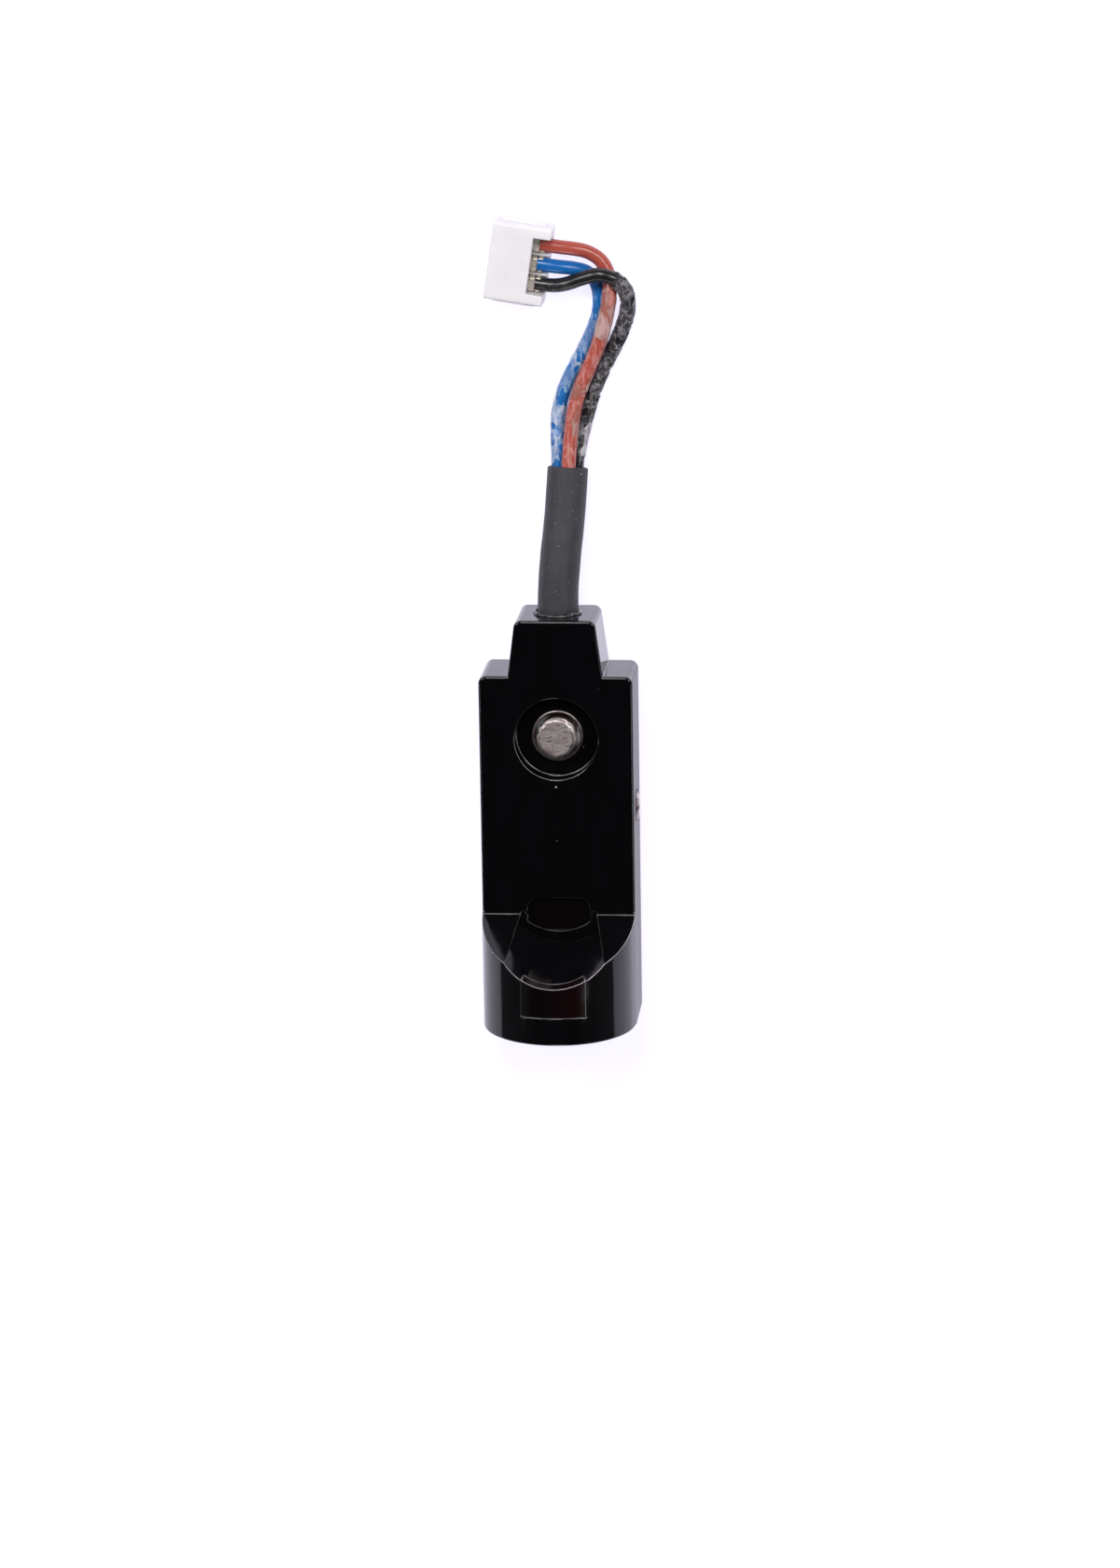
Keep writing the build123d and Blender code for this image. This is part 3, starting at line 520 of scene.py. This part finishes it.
def bright_steel(name, light, dark, gloss, wear):
    """Plated steel with stains, turning marks and crossing scratches."""
    s = Surface(name, metallic=1.0)
    stain = s.grain(900.0, detail=5.0, distortion=0.6)
    cuts = s.grain(2600.0, detail=6.0, place=s.stretched(0.25, 1.0, 1.0), distortion=1.2)
    crossing = s.grain(2200.0, detail=6.0, place=s.stretched(1.0, 0.22, 1.0), distortion=1.6)
    deep = s.span(cuts, 0.0, 1.0, 0.52, 0.6)
    marks = s.sum("MULTIPLY", deep, s.span(crossing, 0.3, 1.0, 0.4, 0.6))
    base = s.blend(s.span(stain, 0.0, 1.0, 0.42, 0.6), light, dark)
    bottom = tuple(0.4 * c for c in dark)
    s.colour(s.blend(s.sum("MULTIPLY", marks, wear), base, bottom))
    s.dullness(s.span(stain, gloss[0], gloss[1], 0.3, 0.7))
    s.relief((s.sum("ADD", cuts, crossing), 0.000025 * wear + 0.000004))
    return s.material


def jacket_grey():
    """Matt dark grey sheath: fine drawn grain, chalky patches and specks of dust."""
    s = Surface("jacket_grey", ior=1.48)
    drawn = s.grain(2400.0, detail=4.0, place=s.stretched(1.0, 0.15, 1.0))
    chalk = s.grain(700.0, detail=6.0, distortion=0.4)
    specks = s.sum("MAXIMUM", s.specks(900.0, 0.10, 0.86), s.specks(2300.0, 0.14, 0.90))
    base = s.blend(chalk, (0.026, 0.025, 0.030), (0.048, 0.046, 0.053))
    base = s.blend(s.span(drawn, 0.0, 0.5, 0.5, 0.75), base, (0.065, 0.063, 0.070))
    s.colour(s.blend(specks, base, (0.35, 0.33, 0.34)))
    s.dullness(s.span(chalk, 0.48, 0.68))
    s.relief((drawn, 0.00003), (chalk, 0.00004))
    return s.material


def insulation(name, light, dark, residue):
    """Core insulation: glossy and clean by the plug, hazed by residue towards the jacket."""
    s = Surface(name, ior=1.5)
    patches = s.grain(900.0, detail=4.0)
    streaks = s.grain(1700.0, detail=5.0, place=s.stretched(1.0, 0.4, 1.0), distortion=0.8)
    hazed = s.span(s.axis("Y"), 1.0, 0.0, CLEAN_CORE_START, CLEAN_CORE_START + 0.002)
    streaked = s.span(streaks, 0.0, 1.0, 0.50, 0.58)
    haze = s.sum("MULTIPLY", streaked, s.sum("MULTIPLY", hazed, 0.75))
    s.colour(s.blend(haze, s.blend(patches, light, dark), residue))
    s.dullness(s.span(haze, 0.24, 0.5))
    s.relief((patches, 0.00003), (s.sum("MULTIPLY", streaks, hazed), 0.00006))
    return s.material


def clinging_film(name, pale, tinted):
    """Torn clear film that has gone white: wrinkled, glossy and partly see-through."""
    s = Surface(name, ior=1.45, coat_weight=0.3, coat_roughness=0.1)
    wrinkle = s.grain(2600.0, detail=5.0, distortion=1.0)
    cloud = s.grain(650.0, detail=6.0, distortion=0.8, place=s.stretched(1.0, 0.45, 1.0))
    s.colour(s.blend(s.span(cloud, 0.0, 1.0, 0.40, 0.56), pale, tinted))
    s.dullness(s.span(wrinkle, 0.18, 0.5))
    s.feed(s.shader.inputs["Alpha"], s.span(cloud, 0.80, 0.25, 0.38, 0.58))
    s.relief((wrinkle, 0.00012))
    return s.material


def talc():
    """Pale powder caked on black: rough, clumped and worn through to the black beneath."""
    s = Surface("talc", ior=1.4, sheen_weight=0.3, sheen_roughness=0.5)
    clump = s.grain(1500.0, detail=5.0, distortion=0.9, roughness=0.65)
    fine = s.grain(5200.0, detail=3.0)
    worn = s.span(clump, 0.0, 1.0, 0.48, 0.60)
    white = s.blend(fine, (0.12, 0.11, 0.125), (0.40, 0.37, 0.41))
    s.colour(s.blend(worn, (0.014, 0.013, 0.015), white))
    s.dullness(s.span(worn, 0.45, 0.9))
    s.relief((clump, 0.00022), (fine, 0.00003))
    return s.material


def sealing_compound():
    """Glossy black compound, drawn into strings and pits."""
    s = Surface("sealing_compound", ior=1.52, coat_weight=0.5, coat_roughness=0.05)
    lumps = s.grain(1500.0, detail=5.0, distortion=0.7)
    s.colour(s.blend(lumps, (0.006, 0.006, 0.008), (0.020, 0.018, 0.022)))
    s.dullness(s.span(lumps, 0.08, 0.3))
    s.relief((lumps, 0.00016))
    return s.material


def green_board():
    """Solder resist over copper tracks, with pads and vias."""
    s = Surface("green_board", ior=1.5, coat_weight=0.3, coat_roughness=0.2)
    tracks = s.node("ShaderNodeTexBrick", {
        "Vector": s.place, "Scale": 420.0, "Mortar Size": 0.018, "Mortar Smooth": 0.1,
        "Brick Width": 1.1, "Row Height": 0.45,
    }, output="Fac")
    vias = s.specks(380.0, 0.11, 0.55)
    cloud = s.grain(500.0, detail=3.0)
    resist = s.blend(cloud, (0.010, 0.085, 0.035), (0.014, 0.12, 0.05))
    copper = s.blend(tracks, resist, (0.035, 0.20, 0.07))
    s.colour(s.blend(vias, copper, (0.62, 0.50, 0.22)))
    s.dullness(s.span(cloud, 0.28, 0.42))
    s.relief((tracks, 0.00003), (vias, 0.00003))
    return s.material


def make_materials():
    """Every material by name: the slots of the record, then what lies on the cores."""
    return {
        "black_moulding": black_moulding(),
        "infrared_window": infrared_window(),
        "natural_nylon": natural_nylon(),
        "zinc_steel": bright_steel(
            "zinc_steel", light=(0.88, 0.78, 0.78), dark=(0.44, 0.36, 0.36),
            gloss=(0.36, 0.56), wear=1.0,
        ),
        "sleeve_steel": bright_steel(
            "sleeve_steel", light=(0.34, 0.29, 0.27), dark=(0.20, 0.165, 0.155),
            gloss=(0.3, 0.5), wear=0.4,
        ),
        "adjuster_metal": bright_steel(
            "adjuster_metal", light=(0.60, 0.55, 0.54), dark=(0.30, 0.22, 0.21),
            gloss=(0.22, 0.4), wear=0.8,
        ),
        "jacket_grey": jacket_grey(),
        "sealing_compound": sealing_compound(),
        "insulation_brown": insulation(
            "insulation_brown", light=(0.50, 0.098, 0.070), dark=(0.37, 0.064, 0.046),
            residue=(0.58, 0.24, 0.21),
        ),
        "insulation_blue": insulation(
            "insulation_blue", light=(0.012, 0.165, 0.50), dark=(0.008, 0.115, 0.40),
            residue=(0.34, 0.50, 0.72),
        ),
        "insulation_black": insulation(
            "insulation_black", light=(0.010, 0.010, 0.011), dark=(0.018, 0.017, 0.019),
            residue=(0.20, 0.19, 0.21),
        ),
        "green_board": green_board(),
        "clear_lens": plain(
            "clear_lens", light=(0.74, 0.79, 0.85), dark=(0.66, 0.72, 0.80), grain=400.0,
            gloss=(0.03, 0.10), relief=0.000004, ior=1.54, transmission_weight=0.7,
        ),
        "chip_black": plain(
            "chip_black", light=(0.020, 0.020, 0.023), dark=(0.034, 0.033, 0.036), grain=900.0,
            gloss=(0.55, 0.7), relief=0.00001, ior=1.5,
        ),
        "ceramic_tan": plain(
            "ceramic_tan", light=(0.46, 0.32, 0.19), dark=(0.36, 0.25, 0.15), grain=1400.0,
            gloss=(0.35, 0.5), relief=0.00001, ior=1.6,
        ),
        "trimmer_blue": plain(
            "trimmer_blue", light=(0.020, 0.090, 0.32), dark=(0.014, 0.065, 0.25), grain=700.0,
            gloss=(0.3, 0.42), relief=0.000008, ior=1.5,
        ),
        "tinned_metal": plain(
            "tinned_metal", light=(0.66, 0.66, 0.64), dark=(0.50, 0.50, 0.49), grain=1200.0,
            gloss=(0.22, 0.42), relief=0.00002, metallic=1.0,
        ),
        "tinned_brass": plain(
            "tinned_brass", light=(0.90, 0.86, 0.76), dark=(0.66, 0.60, 0.50), grain=1600.0,
            gloss=(0.34, 0.55), relief=0.00002, metallic=1.0,
        ),
        "film_on_brown": clinging_film("film_on_brown", (0.66, 0.42, 0.39), (0.52, 0.19, 0.15)),
        "film_on_blue": clinging_film("film_on_blue", (0.62, 0.70, 0.86), (0.26, 0.42, 0.74)),
        "film_on_black": clinging_film("film_on_black", (0.66, 0.63, 0.68), (0.34, 0.32, 0.36)),
        "talc": talc(),
    }


# ---------------------------------------------------------------- camera, light and floor


def make_camera():
    """The photograph's view: from in front, a little towards the cable and the right."""
    camera = link("camera", bpy.data.cameras.new("camera"))
    back = (CAMERA_PLACE - CAMERA_TARGET).normalized()
    right = Vector((0, 1, 0)).cross(back).normalized()
    up = back.cross(right)
    turn = Matrix((right, up, back)).transposed().to_4x4()
    turn = turn @ Matrix.Rotation(CAMERA_ROLL, 4, "Z")
    camera.matrix_world = Matrix.Translation(CAMERA_PLACE) @ turn
    camera.data.sensor_width = SENSOR
    camera.data.lens = CAMERA_LENS
    camera.data.clip_start = 0.01
    camera.data.clip_end = 20.0
    SCENE.camera = camera


def make_lamps():
    """Three soft boxes beyond the cable, one in front, and a faint strip for each flank."""
    for name, (azimuth, height, distance, size, power) in LAMPS.items():
        light = bpy.data.lights.new(name, "AREA")
        light.shape = "DISK"
        light.size = size
        light.energy = power
        lamp = link(name, light)
        around, up = math.radians(azimuth), math.radians(height)
        level = math.cos(up)
        towards = Vector((math.cos(around) * level, math.sin(around) * level, math.sin(up)))
        lamp.location = LAMP_AIM + towards * distance
        lamp.rotation_mode = "QUATERNION"
        lamp.rotation_quaternion = towards.to_track_quat("Z", "Y")


def make_room():
    """A dark room, a little lighter below."""
    world = bpy.data.worlds.new("sky")
    world.use_nodes = True
    tree = world.node_tree
    place = tree.nodes.new("ShaderNodeTexCoord")
    split = tree.nodes.new("ShaderNodeSeparateXYZ")
    shade = tree.nodes.new("ShaderNodeValToRGB")
    tree.links.new(place.outputs["Generated"], split.inputs[0])
    tree.links.new(split.outputs["Z"], shade.inputs["Fac"])
    tree.links.new(shade.outputs["Color"], tree.nodes["Background"].inputs["Color"])
    ramp = shade.color_ramp.elements
    while len(ramp) < len(ROOM_STOPS):
        ramp.new(0.5)
    for stop, (height, value) in zip(ramp, ROOM_STOPS):
        stop.position = height
        stop.color = (value, value * 0.985, value * 1.02, 1.0)
    SCENE.world = world
    SCENE.view_settings.view_transform = "Standard"


def make_floor():
    """A plain white table, slightly uneven in tone, that glows round the object."""
    corners = [
        (x * FLOOR_HALF, y * FLOOR_HALF, -FLOOR_DROP) for x, y in ((-1, -1), (1, -1), (1, 1), (-1, 1))
    ]
    mesh = bpy.data.meshes.new("floor")
    mesh.from_pydata(corners, [], [(0, 1, 2, 3)])
    floor = link("floor", mesh)
    s = Surface("floor_white", specular_ior_level=0.1)
    away = s.node("ShaderNodeVectorMath", {0: s.place}, output="Value", operation="LENGTH")
    near = s.span(away, 1.0, 0.04, GLOW_START, GLOW_END)
    white = s.blend(s.grain(6.0), (0.31, 0.30, 0.31), (0.33, 0.32, 0.33))
    s.colour(s.blend(near, (0.02, 0.02, 0.02), white))
    s.feed(s.shader.inputs["Emission Color"], (0.83, 0.81, 0.98, 1.0))
    s.feed(s.shader.inputs["Emission Strength"], near)
    s.dullness(0.8)
    mesh.materials.append(s.material)


# ---------------------------------------------------------------- cable and plug


def core_lead(seat):
    """A core's first two points: on the jacket's end face, and straight on."""
    end, before = Vector(JACKET_ROUTE[-1]), Vector(JACKET_ROUTE[-2])
    along = (end - before).normalized()
    across = Vector((along.y, -along.x, 0)).normalized()
    up = (Vector((0, 0, 1)) - along * along.z).normalized()
    start = end + across * seat[0] + up * seat[1]
    return [tuple(start), tuple(start + along * CORE_LEAD)]


def in_plug(along, way, height):
    """A place given in the plug's own frame."""
    turn = Matrix.Rotation(PLUG_TURN, 4, "Z")
    return PLUG_CENTRE + turn @ Vector((along, way * PLUG_PITCH, height))


def core_route(name):
    """A core's whole route, from the jacket to its contact."""
    back = PLUG_LENGTH / 2
    ends = [
        tuple(in_plug(along, WAYS[name], PLUG_AXIS))
        for along in (back + WIRE_STRAIGHT, back - CONTACT_SETBACK)
    ]
    return [*core_lead(CORE_SEATS[name]), *CORE_ROUTES[name], *ends]


def make_cores(materials):
    """The three cores as tubes along their routes."""
    wires = {}
    for name in CORE_ROUTES:
        wire = route_curve(f"{name}_wire", core_route(name), CORE_DIAMETER / 2)
        slot = f"insulation_{name}"
        wires[name] = finished(wire, "body", slot, materials[slot], f"{name}_core")
    return wires


def torn_shell(name, route, start, end, thickness, lift, seed, cover, scale, squeeze):
    """A ragged skin on a core between two distances along it, torn where noise is low.

    cover is how much of it is left at each end, scale how fine the tears are and squeeze how
    far they are drawn out along the core.
    """
    step, sides = 0.00013, 44
    frayed = 0.0009
    finer = 2.7
    frames = carried_frames(centreline(route, step))[int(start / step):int(end / step)]
    radius = CORE_DIAMETER / 2
    points, kept = [], []
    for i, (centre, _, across, over) in enumerate(frames):
        fade = min(i, len(frames) - 1 - i) * step / frayed
        share = cover[0] + (cover[1] - cover[0]) * i / len(frames)
        for out in spokes(across, over, sides):
            sample = out * radius + Vector((0, i * step * squeeze, 0))
            tear = ripple(sample, scale, seed) + 0.45 * ripple(sample, scale * finer, seed + 5)
            kept.append(tear + share - max(0.0, 1.0 - fade) * 0.5 > 0)
            wave = 0.5 + 0.5 * ripple(centre + out * radius, scale * 1.9, seed + 9)
            spot = centre + out * (radius + max(thickness + lift * wave, 0.25 * thickness))
            spot.z = max(spot.z, CLEARANCE)
            spot.x = min(spot.x, cad_high.x - CLEARANCE)
            points.append(spot)
    faces = [quad for quad in ring_quads(len(frames), sides) if all(kept[q] for q in quad)]
    mesh = bpy.data.meshes.new(name)
    mesh.from_pydata(points, [], faces)
    skin = bmesh.new()
    skin.from_mesh(mesh)
    bmesh.ops.delete(skin, geom=[v for v in skin.verts if not v.link_faces], context="VERTS")
    rim = [v for v in skin.verts if v.is_boundary]
    for _ in range(3):
        bmesh.ops.smooth_vert(
            skin, verts=rim, factor=0.5, use_axis_x=True, use_axis_y=True, use_axis_z=True
        )
    skin.to_mesh(mesh)
    skin.free()
    mesh.shade_smooth()
    return thickened(link(name, mesh), 0.00003)


def make_residue(materials):
    """Film left on the brown and blue cores, and film and caked powder on the black one."""
    for name, core, finish, shape in (
        ("brown_film", "brown", "film_on_brown", {
            "start": 0.0001, "end": 0.0236, "thickness": 0.00002, "lift": 0.00007,
            "seed": 3.1, "cover": (-0.12, 0.22), "scale": 560.0, "squeeze": 0.5,
        }),
        ("blue_film", "blue", "film_on_blue", {
            "start": 0.0001, "end": 0.0205, "thickness": 0.00002, "lift": 0.00010,
            "seed": 7.7, "cover": (0.12, -0.05), "scale": 560.0, "squeeze": 0.5,
        }),
        ("black_film", "black", "film_on_black", {
            "start": 0.0012, "end": 0.0062, "thickness": 0.00004, "lift": 0.00006,
            "seed": 1.3, "cover": (0.6, 0.6), "scale": 700.0, "squeeze": 0.45,
        }),
        ("black_powder", "black", "talc", {
            "start": 0.0052, "end": 0.0272, "thickness": 0.00001, "lift": 0.00014,
            "seed": 5.9, "cover": (0.3, 0.5), "scale": 1500.0, "squeeze": 0.6,
        }),
    ):
        piece = torn_shell(name, core_route(core), **shape)
        finished(piece, "body", f"insulation_{core}", materials[finish])


def make_jacket(materials):
    """The sheath, with a rounded cut edge, a groove inside it and the filler round the cores."""
    line = centreline(JACKET_ROUTE, 0.0004)
    line.append(Vector(JACKET_ROUTE[-1]))
    radius = JACKET_DIAMETER / 2
    inset = 0.00002
    sides = 64
    frames = carried_frames(line)
    profile = [(centre, along, across, over, radius) for centre, along, across, over in frames[:-1]]
    end, along, across, over = frames[-1]
    # The end, from its rim to its middle: how far in from the end face, and at what radius
    for inward, reach in (
        (0.00022, radius), (0.00010, radius - 0.00003), (0.00003, radius - 0.00010),
        (0.0, radius - 0.00022), (0.00002, radius - 0.00034), (0.00016, radius - 0.00040),
        (0.00018, radius - 0.00046), (0.00004, radius - 0.00052), (0.00001, radius - 0.0009),
        (0.00001, 0.0006), (0.00001, 0.00001),
    ):
        profile.append((end - along * inward, along, across, over, reach))
    rings = []
    for centre, along, across, over, reach in profile:
        ring = []
        for out in spokes(across, over, sides):
            dent = 0.00003 * ripple(centre + out * reach, 420.0, 2.0) * min(1.0, reach / radius)
            ring.append(centre + out * (reach + dent - inset))
        rings.append(ring)
    mesh = smooth_by_angle(ring_mesh("sheath", rings, cap_start=True), 50)
    finished(link("sheath", mesh), "body", "jacket_grey", materials["jacket_grey"], "cable_jacket")


def make_seal(materials):
    """The ragged bead of compound squeezed out round the cable."""
    low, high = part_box("cable_seal")
    centre = Vector(((low.x + high.x) / 2, low.y, (low.z + high.z) / 2))
    inner = JACKET_DIAMETER / 2 - 0.00004
    around, across = 180, 14
    spread = 0.003
    rings = []
    for i in range(around):
        angle = 2 * math.pi * i / around
        out = Vector((math.cos(angle), 0, math.sin(angle)))
        place = out * spread
        lump = 0.5 + 0.5 * ripple(place, 700.0, 4.0) + 0.35 * ripple(place, 2300.0, 8.0)
        width = 0.00030 + 0.00045 * max(lump, 0.0)
        rise = 0.00016 + 0.00042 * max(0.5 + 0.6 * ripple(place, 1100.0, 12.0), 0.0)
        ring = []
        for c in range(across):
            turn = 2 * math.pi * c / across
            reach = inner + width * (0.5 + 0.5 * math.cos(turn))
            height = rise * max(math.sin(turn), -0.05)
            fold = 0.00004 * ripple(out * reach + Vector((0, height, 0)), 3500.0, 6.0)
            ring.append(centre + out * (reach + fold) + Vector((0, height, 0)))
        rings.append(ring)
    rings.append(rings[0])
    mesh = ring_mesh("seal_bead", rings)
    mesh.shade_smooth()
    bead = link("seal_bead", mesh)
    finished(bead, "body", "sealing_compound", materials["sealing_compound"], "cable_seal")


def crisp_copy(name, node, width):
    """A CAD node's shape as a new piece with its sharp edges rounded by that much."""
    mesh = frame["nodes"][node].data.copy()
    mesh.name = name
    clean = bmesh.new()
    clean.from_mesh(mesh)
    bmesh.ops.remove_doubles(clean, verts=clean.verts, dist=1e-7)
    bmesh.ops.dissolve_limit(
        clean, angle_limit=math.radians(0.5), verts=clean.verts, edges=clean.edges
    )
    clean.to_mesh(mesh)
    clean.free()
    piece = link(name, mesh)
    edge = piece.modifiers.new("edge", "BEVEL")
    edge.width = width
    edge.segments = 2
    edge.limit_method = "ANGLE"
    edge.angle_limit = math.radians(30)
    edge.use_clamp_overlap = True
    smooth_by_angle(mesh, 40)
    return piece


def make_plug(materials):
    """The nylon housing."""
    housing = crisp_copy("plug_shell", "connector_housing", 0.00012)
    finished(housing, "body", "natural_nylon", materials["natural_nylon"], "connector_housing")
    return housing


def make_crimps(materials):
    """Two thin bands round each wire in the plug's open entry, both open at the top."""
    turn = Matrix.Rotation(PLUG_TURN, 3, "Z")
    back = PLUG_LENGTH / 2
    points, faces = [], []
    steps, rows = 22, 5
    for way in WAYS.values():
        for band, (start, end) in enumerate(CRIMP_BANDS):
            first = len(points)
            opening = math.radians(34 + 10 * band)
            sweep = 2 * math.pi - 2 * opening
            for row in range(rows):
                along = back - start + (start - end) * row / (rows - 1)
                flare = 0.00006 * abs(2 * row / (rows - 1) - 1) ** 2
                reach = CORE_DIAMETER / 2 + 0.00003 + flare
                for step in range(steps):
                    angle = math.pi / 2 + opening + sweep * step / (steps - 1)
                    aside = way * PLUG_PITCH + reach * math.cos(angle)
                    spot = Vector((along, aside, PLUG_AXIS + reach * math.sin(angle)))
                    points.append(PLUG_CENTRE + turn @ spot)
            for row in range(rows - 1):
                for step in range(steps - 1):
                    a = first + row * steps + step
                    faces.append((a, a + 1, a + 1 + steps, a + steps))
    mesh = bpy.data.meshes.new("crimps")
    mesh.from_pydata(points, [], faces)
    mesh.shade_smooth()
    bands = thickened(link("crimps", mesh), 0.00010)
    return finished(bands, "body", "tinned_brass", materials["tinned_brass"])


# ---------------------------------------------------------------- metal parts


def make_screw(materials):
    """The captive screw: knurled socket head, waisted shank and a cut thread with its point."""
    low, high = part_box("fixing_screw")
    centre = (low + high) / 2
    base, tip = low.z, high.z
    head = (high.x - low.x) / 2
    neck = base + 0.00275
    waist = 0.0021
    hexagon = 0.0015
    corner = 0.0007
    ridges, ridge_depth = 36, 0.00007
    pitch, crest, depth = 0.0008, 0.0025, 0.00042
    thread_start, point_start = tip - 0.0021, tip - 0.00045
    rows = 32

    def flats(angle):
        return hexagon / math.cos((angle % (math.pi / 3)) - math.pi / 6)

    def knurl(angle):
        return head - ridge_depth * (0.5 + 0.5 * math.cos(ridges * angle))

    def thread(height):
        def reach(angle):
            phase = ((height - thread_start) / pitch - angle / (2 * math.pi)) % 1.0
            flank = min(max((abs(2 * phase - 1) - 0.12) / 0.72, 0.0), 1.0)
            runout = min(1.0, max(0.0, (height - thread_start) / 0.0003))
            ridge = waist + (crest - waist) * runout
            return min(ridge - depth * flank * runout, crest - max(0.0, height - point_start))
        return reach

    profile = [(base + 0.0019, 0.00001), (base + 0.0016, lambda a: 0.9 * flats(a))]
    profile += [(base + 0.00155, flats), (base + 0.00015, flats), (base + 0.00002, 0.00185)]
    profile += [(base, 0.0021), (base, head - corner)]
    for step in range(1, 7):
        turn = math.radians(15 * step)
        height = base + corner * (1 - math.cos(turn))
        profile.append((height, head - corner * (1 - math.sin(turn))))
    profile += [(base + 0.0009, knurl), (neck - 0.00025, knurl), (neck, head - 0.0002)]
    profile += [(neck, 0.0024), (neck + 0.0001, waist), (thread_start, waist)]
    for row in range(1, rows + 1):
        height = thread_start + (tip - thread_start) * row / rows
        profile.append((height, thread(height)))
    profile += [(tip, 0.0018), (tip - 0.00002, 0.0012), (tip - 0.00001, 0.0006), (tip, 0.00001)]
    piece = link("threaded_screw", turned("threaded_screw", centre, profile, 96))
    finished(piece, "screw", "zinc_steel", materials["zinc_steel"], "fixing_screw")


def make_sleeve(materials):
    """The pressed sleeve, with a rolled lip."""
    low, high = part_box("fixing_sleeve")
    centre = (low + high) / 2
    outer = (high.x - low.x) / 2
    inner = outer - 0.00035
    lip = high.z
    profile = [
        (low.z, outer), (lip - 0.00012, outer), (lip - 0.00004, outer - 0.00003),
        (lip, outer - 0.00010), (lip, inner + 0.00010), (lip - 0.00004, inner + 0.00003),
        (lip - 0.00012, inner), (low.z, inner), (low.z, outer),
    ]
    piece = link("sleeve_ring", turned("sleeve_ring", centre, profile, 96))
    finished(piece, "body", "sleeve_steel", materials["sleeve_steel"], "fixing_sleeve")


# ---------------------------------------------------------------- the object


def dress_nodes(materials):
    """Gives each CAD node the procedural material of its slot in the record."""
    slots = {part["node"]: part["material_slot"] for part in frame["record"]["subparts"]}
    for node, piece in frame["nodes"].items():
        piece.data.materials.clear()
        piece.data.materials.append(materials[slots[node]])
        smooth_by_angle(piece.data, 20)


make_camera()
surfaces = make_materials()
cores = make_cores(surfaces)
make_lamps()
make_room()
make_floor()
dress_nodes(surfaces)
make_jacket(surfaces)
make_seal(surfaces)
make_residue(surfaces)
plug = make_plug(surfaces)
crimps = make_crimps(surfaces)
make_screw(surfaces)
make_sleeve(surfaces)
